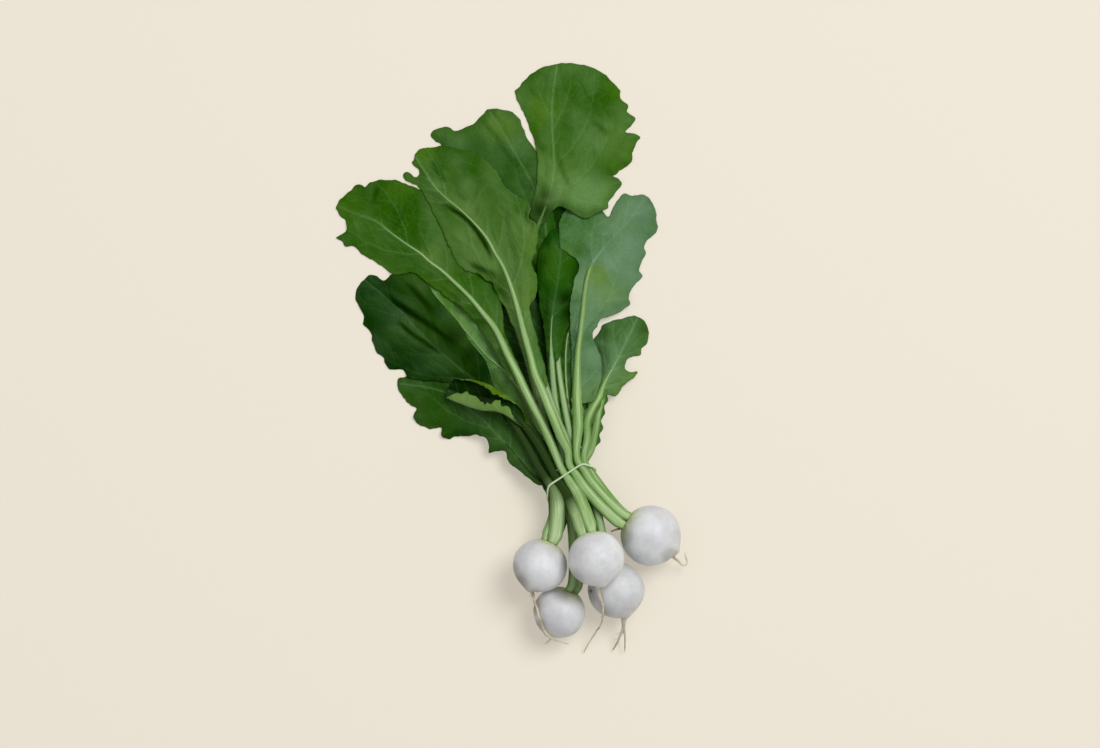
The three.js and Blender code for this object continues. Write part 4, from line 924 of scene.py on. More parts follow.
def gentle_lift(lift, s, tie_at, slope=0.22, ease=45.0):
    """How far a stalk rises over what is below it: nothing at the tie, then never steeply."""
    lift = np.clip(lift, 0, 30) * np.clip((s - tie_at - 5) / ease, 0, 1)
    out = lift.copy()
    for k in range(1, len(s)):
        out[k] = max(out[k], out[k - 1] - slope * (s[k] - s[k - 1]))
    for k in range(len(s) - 2, -1, -1):
        out[k] = max(out[k], out[k + 1] - slope * (s[k + 1] - s[k]))
    out *= np.clip((s - tie_at - 4) / 20, 0, 1)
    for _ in range(60):
        out[1:-1] = 0.25 * out[:-2] + 0.5 * out[1:-1] + 0.25 * out[2:]
    return out


def widening(look, at, tie_at, blade_at, end):
    """A stalk is broad and flat where it leaves the crown, and again where the blade begins."""
    w = 1 + (look.get("wide", 1.25) - 1) * np.clip(at / 6, 0.4, 1) * np.clip((tie_at - 4 - at) / 18, 0, 1)
    up = np.clip((at - tie_at - 8) / 22, 0, 1) * np.clip(1 - (at - blade_at) / (0.75 * (end - blade_at)), 0, 1)
    return w + (look.get("broad_foot", 1.12) - 1) * up


def stalk_wings(look, line, s, side, tan, rad, tie_at, blade_at):
    """Narrow wings of blade that run down the stalk, as open strips."""
    sd = look["seed"]
    WP, WF, WA = [], [], []
    if look.get("wings"):
        w_len, w_wide = look["wings"]
        s0 = max(tie_at + 13, blade_at - w_len)
        ks = np.flatnonzero((s >= s0) & (s <= blade_at + 7))
        if len(ks) > 6:
            ll = line[ks]
            sd2 = side[ks]
            sk = s[ks]
            for sg in (1, -1):
                C = 7
                ph = rnd_phase(sd, sg)
                lob = 0.5 - 0.5 * np.cos(sk * 2 * math.pi / (13.0 + 2 * math.sin(sd + sg)) + ph)
                wd = w_wide * (0.35 + 0.65 * lob) * (0.8 + 0.4 * noise2(sk / 9, sk * 0 + sd, 7)) * np.clip((sk - s0) / 9, 0, 1) ** 0.7
                wd = wd + 0.30 * noise2(sk / 2.4, sk * 0 + sd, 3)
                wd = np.maximum(wd, 0.15)
                G = np.zeros((len(ks), C, 3))
                for c in range(C):
                    t = c / (C - 1)
                    off = rad[ks] * 0.55 + (wd + rad[ks] * 0.4) * t
                    fwd = t * t * 2.2
                    pp = ll[:, :2] + sd2 * (sg * off)[:, None] + tan[ks] * fwd
                    zz = ll[:, 2] + 0.12 * rad[ks] - 0.16 * t * wd + 0.8 * t * t * np.sin(sk / 3.1 + ph)
                    zz = np.maximum(zz, under(pp) + 0.5)
                    G[:, c, :2], G[:, c, 2] = pp, zz
                o_ = sum(len(p_) for p_ in WP)
                n_ = len(ks)
                idx = np.arange(n_ * C).reshape(n_, C)
                a0, a1, b0, b1 = idx[:-1, :-1].ravel(), idx[:-1, 1:].ravel(), idx[1:, :-1].ravel(), idx[1:, 1:].ravel()
                tri = np.vstack([np.stack([a0, a1, b1], 1), np.stack([a0, b1, b0], 1)])
                if sg > 0:
                    tri = tri[:, ::-1]
                P_ = G.reshape(-1, 3)
                f0 = tri[0]
                nz = np.cross(P_[tri[:, 1]] - P_[tri[:, 0]], P_[tri[:, 2]] - P_[tri[:, 0]])[:, 2].sum()
                if nz < 0:
                    tri = tri[:, ::-1]
                WP.append(P_)
                WF.append(tri + o_)
                t_ = np.tile(np.arange(C) / (C - 1), n_)
                WA.append(t_)
    return WP, WF, WA


def rnd_phase(seed, sg):
    return (seed * 1.7 + (0.9 if sg > 0 else 2.4)) % math.pi


# ---------------------------------------------------------------- one leaf
def build_leaf(leaf, look):
    name = leaf["name"]
    back_up = look.get("back_up", False)
    sgn = -1.0 if back_up else 1.0
    line, s, tie_at, foot = stalk_path(leaf)
    line[:, :2] += TIE_ACROSS * (look.get("bow", 0.0) * np.sin(math.pi * np.clip((s - 4) / (tie_at - 4), 0, 1)) ** 2)[:, None]
    poly = blade_outline(leaf, look.get("tooth", 0.8), look["seed"])
    inside = in_poly(poly, line[:, :2]) & (s > tie_at)
    blade_k = int(np.argmax(inside)) if inside.any() else len(line) - 1
    blade_at = s[blade_k]
    q = np.clip((s - blade_at) / max(1e-6, s[-1] - blade_at), 0, 1)
    r0, r1 = leaf["r"], min(leaf["r"], look.get("free", 3.0))
    grown = np.clip((s - tie_at) / max(2.0, blade_at - tie_at), 0, 1)
    rad = r0 + (r1 - r0) * grown
    rib_to = look.get("rib_to", 0.9)
    rib_r = (r1 - 0.3) * np.clip(1 - q / rib_to, 0, 1) ** look.get("taper", 1.15) + 0.3
    rib_r = np.maximum(rib_r, look.get("rib_min", 0.0) * np.clip((rib_to - q) / 0.05, 0.2, 1))
    rad = np.where(q > 0, rib_r * look.get("rib", 1.0) ** np.clip(q * 4, 0, 1), rad)
    # the stalk rests on whatever is below it
    need = np.full(len(line), -1e9)
    tan = np.gradient(line[:, :2], axis=0)
    tan /= np.maximum(np.linalg.norm(tan, axis=1), 1e-6)[:, None]
    side = np.stack([tan[:, 1], -tan[:, 0]], 1)
    for o, h in ((-0.6, 0.8), (0, 1.0), (0.6, 0.8)):
        need = np.maximum(need, under(line[:, :2] + side * (o * rad)[:, None]) + rad * h + 0.3)
    z = line[:, 2] + gentle_lift(need - line[:, 2], s, tie_at)
    line[:, 2] = z

    # blade
    rib2 = line[blade_k:, :2]
    veins = blade_veins(rib2, poly, look["seed"], look.get("gap", (14.0, 20.0)))
    V2, F = blade_mesh(poly, rib2, veins, look.get("step", 1.3), look["seed"])
    n = len(V2)
    E = np.vstack([F[:, [0, 1]], F[:, [1, 2]], F[:, [2, 0]]])
    E = np.unique(np.sort(E, 1), axis=0)
    ea, eb = E[:, 0], E[:, 1]
    up_, lo_ = cad_heights(name, V2)
    zm = fill_nan(V2, 0.5 * (up_ + lo_))
    zm = relax(zm, ea, eb, n, 55)
    edge_d = resample(poly, 0.7, closed=True)
    es = arclen(edge_d)
    ei, dd = nearest(kd_of(edge_d), V2)
    ri, rd = nearest(kd_of(line[:, :2]), V2)
    rk = rad[ri]
    # the blade leaves the rib at its flank
    zr = line[ri, 2] + np.where(sgn > 0, 0.12, -0.42 - look.get("rib_up", 0.0)) * rk
    wr = np.exp(-(rd / 7.0) ** 2)
    zm = zm * (1 - wr) + zr * wr
    vp, vw = [], []
    for v, wgt, own in veins:
        d = resample(v, 0.5)
        t = np.linspace(0, 1, len(d))
        vp.append(d)
        vw.append((1.0 if wgt > 0.9 else 0.4) * (1 - 0.7 * t))
    vp, vw = np.vstack(vp), np.concatenate(vw)
    vi, vd = nearest(kd_of(vp), V2)
    big = np.array([wgt for v, wgt, own in veins])
    # waves along the margin, swellings between the veins
    ss = es[ei]
    x, y = V2[:, 0], V2[:, 1]
    sd = look["seed"]
    amp = look.get("ruffle", 2.2)
    wave = 0.62 * np.sin(ss * 2 * math.pi / 37 + sd) + 0.42 * np.sin(ss * 2 * math.pi / 16.5 + 2.1 * sd) + 0.5 * noise2(x / 9, y / 9, sd)
    wave *= 0.65 + 0.6 * noise2(x / 40, y / 40, sd + 2)
    ruff = amp * wave * np.exp(-dd / 8.5)
    wfar = np.clip(rd / 9, 0, 1)
    broad = look.get("broad", 1.9) * fbm2(x / 26, y / 26, sd + 11, 2) * wfar
    puck = look.get("pucker", 1.5) * (1 - np.exp(-vd / 3.4)) * np.clip(rd / 5, 0.0, 1) * np.clip(dd / 3, 0, 1)
    if "shape" in look:
        broad = broad + look["shape"](V2, rd, dd, q[ri], (V2 - line[ri, :2]) @ np.array([0.0, 1.0]))
    # painted shade and highlight: the listed spots set dark, near-black painted shade; creases lower the tone in the
    # fold (painted shade, also setting dark) or raise it along the crease (painted highlight), and dz folds the blade
    # itself
    crease_shade_and_highlight = 0 * x
    dark = 0 * x
    for px, py, rr_, amt in look.get("gloom", []):
        c_ = plan((px, py))
        dark = np.maximum(dark, amt * np.exp(-(((x - c_[0]) ** 2 + (y - c_[1]) ** 2) / (rr_ * U) ** 2)))
    for pts, w_, dt, dz in look.get("creases", []):
        cl = resample(catmull(plans(pts), per=10), 0.8)
        ci, cd = nearest(kd_of(cl), V2)
        ct = np.gradient(cl, axis=0)
        off = ct[ci, 0] * (V2[:, 1] - cl[ci, 1]) - ct[ci, 1] * (V2[:, 0] - cl[ci, 0])
        off = np.sign(off) * cd
        ends = np.clip(np.minimum(ci, len(cl) - 1 - ci) / (0.22 * len(cl)), 0, 1) * (cd < 6 * w_)
        crease_shade_and_highlight = crease_shade_and_highlight + dt * np.exp(-(cd / w_) ** 2) * ends
        dark = np.maximum(dark, max(0.0, -dt) * np.exp(-(np.maximum(off * 0.75, -off) / w_) ** 2) * ends)
        broad = broad + dz * (np.exp(-((off - 1.6 * w_) / (1.3 * w_)) ** 2) - 0.7 * np.exp(-((off + 0.4 * w_) / w_) ** 2)) * ends
    fine = 0.16 * noise2(x / 2.7, y / 2.7, sd + 21) * wfar
    rough_far = np.clip((rd - rk * 0.9) / 3.0, 0, 1)
    # held clear of the table and of what is below
    floor = under(V2) + 0.55
    settle = np.clip(zm - floor - 0.4, 0, 4) * look.get("settle", 0.75) * np.exp(-(dd / 8.0) ** 2) * np.clip((rd - rk) / 6, 0, 1)
    hug = look.get("hug", 1.6) * np.exp(-(dd / 4.5) ** 2)
    z = zm - settle - hug + (ruff + broad + sgn * puck + fine) * rough_far
    near_stalk = rd < 0.8 * rk
    z = np.maximum(z, floor)
    z = relax(z, ea, eb, n, 3, floor=floor)
    P = np.column_stack([V2, z])
    P[:, 2] = np.maximum(P[:, 2], 0.35)
    splat(P, P[:, 2] + 0.3)
    cen = P[F].mean(1)
    splat(cen, cen[:, 2] + 0.3)
    thick = 0.17 + 0.35 * np.exp(-(rd / (rk + 0.8)) ** 2) + 0.10 * np.exp(-(vd / 0.7) ** 2) * vw[vi]
    thick *= np.clip(dd / 1.2 + 0.35, 0.35, 1)
    SV, SF, skin, N = sheet_solid(P, F, thick, back_up)
    vein = vw[vi] * np.exp(-(vd / 0.5) ** 2)
    rib = np.exp(-(np.maximum(rd - rk * 0.7, 0) / 0.7) ** 2) * np.clip(1 - (q[ri] - rib_to) / 0.12, look.get("rib_trace", 1.0), 1)
    edge = np.clip(1 - dd / 5.0, 0, 1)
    qa = q[ri]
    tone = look.get("tone", 0.45) + look.get("fade", 0.35) * (0.5 - qa) + 0.34 * fbm2(x / 34, y / 34, sd + 31, 2) - 0.12 * np.clip(1 - dd / 6, 0, 1)
    tone = tone + 0.10 * np.exp(-(rd / 9.0) ** 2)
    # tone patches: the paler ones are partly painted sheen, the darker ones partly painted shade, besides real colour
    # differences
    if "patches" in look:
        for px, py, rr_, amt in look["patches"]:
            c_ = plan((px, py))
            tone = tone + amt * np.exp(-((x - c_[0]) ** 2 + (y - c_[1]) ** 2) / (rr_ * U) ** 2)
    tone = np.clip(tone + crease_shade_and_highlight, 0, 1)
    warm = 0.30 * np.clip(fbm2(x / 42, y / 42, sd + 51, 2), 0, 1)
    for px, py, rr_, amt in look.get("yellow", []):
        c_ = plan((px, py))
        warm = warm + amt * np.exp(-(((x - c_[0]) ** 2 + (y - c_[1]) ** 2) / (rr_ * U) ** 2) ** 2)
    warm = np.clip(warm, 0, 1)
    base = np.clip(1 - (s[ri] - blade_at) / (0.42 * (s[-1] - blade_at)), 0, 1) * np.exp(-rd / 14)
    two = lambda a: np.concatenate([a, a])

    WP, WF, WA = stalk_wings(look, line, s, side, tan, rad, tie_at, blade_at)
    # stalk and rib
    tl = line.copy()
    tl = np.vstack([foot, tl]) if np.linalg.norm(foot - tl[0]) > 0.15 else tl
    tr = np.concatenate([[rad[0]], rad]) if len(tl) > len(line) else rad
    end = max(8, int(np.argmax(np.concatenate([q, [2.0]]) > rib_to)) if rib_to < 1 else len(tl) - 3)
    end = min(end, len(tl) - 2)
    tl, tr = tl[:end], tr[:end]
    cut = np.concatenate([np.arange(0, len(tl) - 1, 2), [len(tl) - 1]])
    wide = widening(look, arclen(tl[cut]), tie_at, blade_at, s[-1])
    TV, TF, flow = tube(tl[cut], tr[cut] * 0.975, 20, back_up, phase=sd, ridges=0.040, groove=0.17, widen=wide)
    sp = arclen(tl[cut])
    far = np.concatenate([np.repeat(sp / sp[-1], 20), [0, 1]])
    k = len(TV)
    # tell later leaves where this stalk runs
    for o in (-1, -0.5, 0, 0.5, 1):
        m = s > tie_at - 12
        pp = line[m, :2] + side[m] * (o * rad[m])[:, None]
        splat(pp, line[m, 2] + rad[m] * math.sqrt(max(0.0, 1 - o * o * 0.8)) + 0.15)

    if WP:
        P2, F2, T2 = np.vstack(WP), np.vstack(WF), np.concatenate(WA)
        splat(P2, P2[:, 2] + 0.3)
        SV2, SF2, skin2, _ = sheet_solid(P2, F2, 0.2, back_up)
        SF = SF + [tuple(i + len(SV) for i in f) for f in SF2]
        SV = np.vstack([SV, SV2])
        skin = np.concatenate([skin, skin2])
        w2 = len(P2)
        vein = np.concatenate([two(vein), np.zeros(2 * w2)])
        rib = np.concatenate([two(rib), two(0.25 * np.exp(-(T2 / 0.15) ** 2))])
        edge = np.concatenate([two(edge), two(0.5 * np.clip(T2 * 5 - 4, 0, 1))])
        base = np.concatenate([two(base), np.zeros(2 * w2)])
        warm = np.concatenate([two(warm), np.zeros(2 * w2)])
        tone = np.concatenate([two(tone), np.full(2 * w2, 0.35 * look.get("tone", 0.45))])
        dark = np.concatenate([two(dark), np.zeros(2 * w2)])
        two = lambda a: a
    VV = np.vstack([SV, TV])
    o = len(SV)
    FF = SF + [tuple(i + o for i in f) for f in TF]
    z0 = np.zeros(k)
    attrs = {
        "vein": np.concatenate([two(vein), z0]), "rib": np.concatenate([two(rib), z0]),
        "edge": np.concatenate([two(edge), z0]), "back": np.concatenate([skin, z0 + (1 if back_up else 0)]),
        "base": np.concatenate([two(base), z0]), "warm": np.concatenate([two(warm), z0]), "tone": np.concatenate([two(tone), z0]), "dark": np.concatenate([two(dark), z0]), "far": np.concatenate([np.zeros(o), far]),
    }
    fm = [0] * len(SF) + [1] * len(TF)
    ob = make_object("visual_" + name, VV, FF, attrs, {"flow": np.vstack([np.zeros((o, 3)), flow])},
                     [look["leaf_mat"], look["stalk_mat"]], fm)
    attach(ob, "root")
    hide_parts(name)
    return ob


# ---------------------------------------------------------------- the leaf rolled up along its length
def build_curled(leaf, look):
    line, s, tie_at, foot = stalk_path(leaf)
    poly = blade_outline(leaf, 0.0, 0)
    inside = in_poly(poly, line[:, :2]) & (s > tie_at)
    bk = int(np.argmax(inside))
    q = np.clip((s - s[bk]) / (s[-1] - s[bk]), 0, 1)
    rad = np.where(q > 0, 2.4 * (1 - q) ** 1.1 * 0.4 ** np.clip(q * 5, 0, 1) + 0.25, leaf["r"] + (3.0 - leaf["r"]) * np.clip((s - tie_at) / (s[bk] - tie_at), 0, 1))
    tan = np.gradient(line[:, :2], axis=0)
    tan /= np.linalg.norm(tan, axis=1)[:, None]
    north = np.stack([tan[:, 1], -tan[:, 0]], 1)             # right hand when looking to the tip
    # half widths of the flat blade and how tightly each half is rolled
    grow = np.clip(q / 0.55, 0, 1) ** 0.9
    rn = 3.0 + 11.0 * grow - 2.0 * np.clip((q - 0.8) / 0.2, 0, 1)
    rs = 2.6 + 6.4 * grow - 2.0 * np.clip((q - 0.75) / 0.25, 0, 1)
    wn = rn * (0.9 + 1.32 * np.clip(q / 0.25, 0, 1)) * (1 - 0.30 * np.clip((q - 0.75) / 0.25, 0, 1) ** 2)
    ws = rs * (0.9 + 2.35 * np.clip(q / 0.25, 0, 1)) * (1 - 0.40 * np.clip((q - 0.75) / 0.25, 0, 1) ** 2)
    squat = 0.52
    # clear of what is below, over the whole width of the roll
    need = np.full(len(line), -1e9)
    for f in np.linspace(-1, 1, 13):
        R = np.where(f > 0, rn, rs)
        o = f * R
        h = squat * R * (1 - np.sqrt(np.clip(1 - f * f, 0, 1)))
        need = np.maximum(need, np.where(q > 0.02, under(line[:, :2] + north * o[:, None]) - h + 0.7 + 0.6 * rad, -1e9))
    need = np.maximum(need, under(line[:, :2]) + rad + 0.35)
    z = line[:, 2] + gentle_lift(need - line[:, 2], s, tie_at)
    line[:, 2] = z
    sd = look["seed"]
    B = line[bk:]
    M = len(B)
    J = 27
    v = np.linspace(-1, 1, 2 * J + 1)
    G = np.zeros((M, 2 * J + 1, 3))
    vein = np.zeros((M, 2 * J + 1))
    edge = np.zeros_like(vein)
    rib = np.zeros_like(vein)
    tone = np.zeros_like(vein)
    for k in range(M):
        i = bk + k
        for j, f in enumerate(v):
            W, R = (wn[i], rn[i]) if f > 0 else (ws[i], rs[i])
            side_ = 3.3 if f > 0 else 8.1
            tooth = 1 + abs(f) ** 3 * (0.07 * float(noise2(np.array(s[i] / 2.2), np.array(side_), sd)) + 0.12 * float(noise2(np.array(s[i] / 7.0), np.array(side_), sd + 1)))
            d = abs(f) * W * tooth
            # the roll is tighter in places
            Rr = R * (1 + 0.10 * math.sin(s[i] / 9.0 + (0 if f > 0 else 2)))
            ph = d / Rr
            lat = Rr * math.sin(ph) + 0.5 * math.sin(s[i] / 5.0) * abs(f) ** 2
            hh = squat * Rr * (1 - math.cos(ph)) + 0.5 * math.sin(s[i] / 6.5 + 1) * abs(f) ** 2
            sg = 1 if f > 0 else -1
            p = line[i, :2] + north[i] * sg * lat
            # the open end slopes back
            p = p - tan[i] * (0.16 * d * q[i] ** 3)
            G[k, j] = (p[0], p[1], line[i, 2] + 0.1 * rad[i] + max(0.0, hh))
            a = (s[i] - 0.75 * d + (3 if f > 0 else 0)) % 11.0
            vein[k, j] = math.exp(-((a - 5.5) / 0.6) ** 2) * 0.5 * (d > 1.0)
            edge[k, j] = max(0.0, 1 - (W * tooth - d) / 5.0) if W > 1 else 0.0
            rib[k, j] = math.exp(-(max(d - rad[i] * 0.7, 0) / 0.7) ** 2)
            tone[k, j] = 0.15 + 0.50 * (f < 0) + 0.25 * float(noise2(np.array(s[i] / 14), np.array(f * 3.0), sd + 5))
    n = M * (2 * J + 1)
    P = G.reshape(-1, 3)
    F = []
    w2 = 2 * J + 1
    for k in range(M - 1):
        for j in range(w2 - 1):
            a0, a1, b0, b1 = k * w2 + j, k * w2 + j + 1, (k + 1) * w2 + j, (k + 1) * w2 + j + 1
            F += [(a0, b0, b1), (a0, b1, a1)]
    F = np.array(F)
    keep = np.array([np.linalg.norm(np.cross(P[f[1]] - P[f[0]], P[f[2]] - P[f[0]])) > 1e-5 for f in F])
    F = F[keep]
    fn = np.cross(P[F[:, 1]] - P[F[:, 0]], P[F[:, 2]] - P[F[:, 0]])
    mid = fn[np.abs(P[F[:, 0]] - np.repeat(B, w2, 0)[F[:, 0]]).sum(1) < 3.0]
    if len(mid) and mid[:, 2].sum() < 0:
        F = F[:, ::-1]
    used = np.unique(F)
    remap = -np.ones(n, int)
    remap[used] = np.arange(len(used))
    P, F = P[used], remap[F]
    at = [a.reshape(-1)[used] for a in (vein, edge, rib, tone)]
    SV, SF, skin_, _ = sheet_solid(P, F, 0.2, False)
    splat(P, P[:, 2] + 0.4)
    WP, WF, WA = stalk_wings(look, line, s, north, tan, rad, tie_at, s[bk])
    W = 0
    if WP:
        P2, F2, T2 = np.vstack(WP), np.vstack(WF), np.concatenate(WA)
        splat(P2, P2[:, 2] + 0.3)
        SV2, SF2, skin2, _ = sheet_solid(P2, F2, 0.2, False)
        SF = SF + [tuple(i + len(SV) for i in f) for f in SF2]
        SV = np.vstack([SV, SV2])
        skin_ = np.concatenate([skin_, skin2])
        W = len(P2)
    tl = np.vstack([foot, line])
    tr = np.concatenate([[rad[0]], rad])
    cut = np.concatenate([np.arange(0, len(tl) - 1, 2), [len(tl) - 1]])
    wide = widening(look, arclen(tl[cut]), tie_at, s[bk], s[-1])
    TV, TF, flow = tube(tl[cut], tr[cut] * 0.975, 20, False, phase=sd, ridges=0.04, groove=0.15, widen=wide)
    sp = arclen(tl[cut])
    far = np.concatenate([np.repeat(sp / sp[-1], 20), [0, 1]])
    for o in (-1, -0.5, 0, 0.5, 1):
        m = s > tie_at - 12
        splat(line[m, :2] + north[m] * (o * rad[m])[:, None], line[m, 2] + rad[m] * math.sqrt(1 - o * o * 0.8) + 0.15)
    k, o = len(TV), len(SV)
    z0 = np.zeros(k)
    two = lambda a, w=0.0: np.concatenate([a, a, np.full(2 * W, w)])
    attrs = {"vein": np.concatenate([two(at[0]), z0]), "rib": np.concatenate([two(at[2]), z0]), "edge": np.concatenate([two(at[1], 0.3), z0]),
             "back": np.concatenate([skin_, z0]), "tone": np.concatenate([two(np.clip(at[3], 0, 1), 0.3), z0]),
             "far": np.concatenate([np.zeros(o), far])}
    ob = make_object("visual_" + leaf["name"], np.vstack([SV, TV]), SF + [tuple(i + o for i in f) for f in TF], attrs,
                     {"flow": np.vstack([np.zeros((o, 3)), flow])}, [look["leaf_mat"], look["stalk_mat"]], [0] * len(SF) + [1] * len(TF))
    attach(ob, "root")
    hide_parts(leaf["name"])
    return ob


# painted light and shade: each root's skin colour is scaled by this factor, below 1 for the lower roots in shade, above
# 1 for the better-lit upper ones (the mix clamps factors above 1 to 1)
ROOT_LIGHT_AND_SHADE = {"turnip_left": 1.0, "turnip_centre": 1.04, "turnip_right": 1.11, "turnip_lower_left": 0.905, "turnip_lower_right": 0.88}


# painted shade on the root flanks, mostly lower left and where neighbouring roots and tails shade the skin: plan x,
# plan y, radius, amount
ROOT_PAINTED_SHADE = {"turnip_lower_left": [(529, 604, 12, 1.0), (533, 630, 11, 0.9), (562, 590, 10, 0.5)],
              "turnip_lower_right": [(588, 594, 9, 0.35), (602, 616, 10, 0.2)],
              "turnip_right": [(624, 536, 9, 0.40), (670, 556, 9, 0.45), (678, 536, 7, 0.2)],
              "turnip_left": [(514, 585, 14, 1.0), (509, 570, 10, 0.7), (532, 597, 10, 0.6)],
              "turnip_centre": [(572, 580, 12, 0.55)]}


# ---------------------------------------------------------------- one root
def build_root(name, r, mat, seed):
    c, up, right, over = root_frame(r)
    NA, R = 96, r["r"]
    prof = np.array(PROFILE) * [R, R * r["squash"]]
    prof = resample(catmull(prof, per=8), R * 0.045)
    prof[:, 0] = np.maximum(prof[:, 0], 0)
    prof[0, 0] = prof[-1, 0] = 0
    a = np.arange(NA) * 2 * math.pi / NA
    V, ax, flow = [], [], []
    M = len(prof)
    lo, hi = prof[-1, 1], prof[0, 1]
    for k in range(1, M - 1):
        rr, h = prof[k]
        t = (h - lo) / (hi - lo)
        # a root is never quite round: shallow lobes, soft dents and a puckered collar
        lobes = 0.010 * np.cos(3 * a + seed) + 0.007 * np.cos(5 * a + 2 * seed)
        d = fbm2(a * 0 + np.cos(a) * 1.6 + seed * 3.1, np.sin(a) * 1.6 + h / R * 1.8, seed, 3) * 0.010
        w = math.sin(min(1.0, rr / (0.6 * R)) * math.pi / 2)
        collar = 0.0
        if t > 0.93:
            collar = 0.02 * np.cos(11 * a + seed) * (rr / R)
        f = 1 + (lobes + d - 0.012) * w + collar - 0.002
        x, y = rr * f * np.cos(a), rr * f * np.sin(a)
        hh = h + (0.35 * np.cos(9 * a + seed) * np.exp(-((rr / R - 0.42) / 0.1) ** 2) if t > 0.9 else 0 * a)
        V.append(c + x[:, None] * right + y[:, None] * over + hh[:, None] * up)
        ax.append(np.full(NA, t))
        flow.append(np.stack([np.cos(a), np.sin(a), np.full(NA, h * 0.001)], 1))
    V = np.vstack(V)
    ax = np.concatenate(ax)
    flow = np.vstack(flow)
    V = np.vstack([V, c + up * prof[0, 1], c + up * prof[-1, 1]])
    ax = np.concatenate([ax, [1, 0]])
    flow = np.vstack([flow, [[0, 0, prof[0, 1] * 0.001], [0, 0, prof[-1, 1] * 0.001]]])
    rows = M - 2
    F = []
    for k in range(rows - 1):
        for i in range(NA):
            j = (i + 1) % NA
            F.append((k * NA + i, k * NA + j, (k + 1) * NA + j, (k + 1) * NA + i))
    for i in range(NA):
        j = (i + 1) % NA
        F.append((j, i, rows * NA))
        F.append(((rows - 1) * NA + i, (rows - 1) * NA + j, rows * NA + 1))
    F = outward(V, F)
    tail = np.zeros(len(V))
    # the CAD root may have been let down on to its flat spot
    dz = CAD[name][0][:, 2].max() - V[:, 2].max() - 0.15
    V[:, 2] += dz
    pole = c - up * (0.93 * R * r["squash"])
    pole[2] += dz
    for ti, (tail_r, tail_pts) in enumerate(r["tails"]):
        pts = [np.array([*plan(p[:2]), p[2] + dz]) for p in tail_pts]
        if ti == 0:
            pts = [pole] + pts
        line = resample(catmull(pts, per=12), 0.8)
        sN = arclen(line)
        t = sN / sN[-1]
        wob = 0.35 * np.clip(t * 3, 0, 1)
        line[:, 0] += wob * noise2(sN / 6, sN * 0 + seed, 5)
        line[:, 1] += wob * noise2(sN / 6, sN * 0 + seed, 6)
        fat = 1.1 * np.maximum(0, 1 - t * 3) ** 1.5 * 1.6 if ti == 0 else 0 * t
        rad = tail_r * (1 - 0.74 * t ** 0.8) + fat
        rad = rad * (1 + 0.10 * noise2(sN / 3.5, sN * 0 + 2.2, seed + 4))
        line[:, 2] = np.maximum(line[:, 2], rad + 0.1)
        TV, TF, tf = tube(line, rad * 0.93, 12, False, groove=0.0, ridges=0.06, phase=seed + ti)
        o = len(V)
        V = np.vstack([V, TV])
        F = F + [tuple(i + o for i in f) for f in TF]
        K = len(line)
        tt = np.concatenate([np.repeat(np.clip(t * 2.4, 0, 1), 12), [0, 1]])
        tail = np.concatenate([tail, tt])
        ax = np.concatenate([ax, np.zeros(len(TV))])
        flow = np.vstack([flow, tf])
        # a few hair roots off the tail
        rnd = random.Random(seed * 31 + ti)
        for h in range(rnd.randint(3, 5)):
            k = int(len(line) * rnd.uniform(0.18, 0.85))
            p = line[k].copy()
            tg = line[min(k + 1, len(line) - 1)] - line[max(k - 1, 0)]
            tg /= np.linalg.norm(tg)
            ang = rnd.uniform(0, 2 * math.pi)
            sd = np.cross(tg, [0, 0, 1.0])
            sd /= max(1e-6, np.linalg.norm(sd))
            dr = sd * math.cos(ang) + np.cross(tg, sd) * math.sin(ang)
            dr = dr * 0.8 + tg * 0.6
            ln = rnd.uniform(3.0, 7.5)
            hp = [p + dr * ln * q + np.array([0, 0, -0.05 * (ln * q) ** 2]) + tg * 0.5 * math.sin(q * 5 + ang) for q in np.linspace(0, 1, 8)]
            hp = np.array(hp)
            hr = 0.30 * (1 - 0.75 * np.linspace(0, 1, 8))
            hp[:, 2] = np.maximum(hp[:, 2], hr + 0.1)
            TV, TF, tf = tube(hp, hr, 6, False, groove=0, ridges=0)
            o = len(V)
            V = np.vstack([V, TV])
            F = F + [tuple(i + o for i in f) for f in TF]
            tail = np.concatenate([tail, np.ones(len(TV))])
            ax = np.concatenate([ax, np.zeros(len(TV))])
            flow = np.vstack([flow, tf])
    twig = np.zeros(len(V))
    for pts, r0 in r.get("stubs", []):
        line = resample(catmull([np.array([*plan(p[:2]), p[2] + dz]) for p in pts], per=10), 0.7)
        t = arclen(line) / arclen(line)[-1]
        TV, TF, tf = tube(line, r0 * (1 - 0.45 * t), 10, False, groove=0.1, ridges=0.08, phase=seed)
        o = len(V)
        V = np.vstack([V, TV])
        F = F + [tuple(i + o for i in f) for f in TF]
        tail = np.concatenate([tail, np.full(len(TV), 0.9)])
        twig = np.concatenate([twig, np.full(len(TV), 0.9)])
        ax = np.concatenate([ax, np.full(len(TV), 1.0)])
        flow = np.vstack([flow, tf])
    V[:, 2] = np.maximum(V[:, 2], 0.0)
    spot = np.zeros(len(V))
    if "spot" in r:
        sp = plan(r["spot"])
        d = np.linalg.norm(V[:, :2] - sp, axis=1)
        spot = np.where(V[:, 2] > r["z"], np.exp(-(d / 1.5) ** 4), 0)
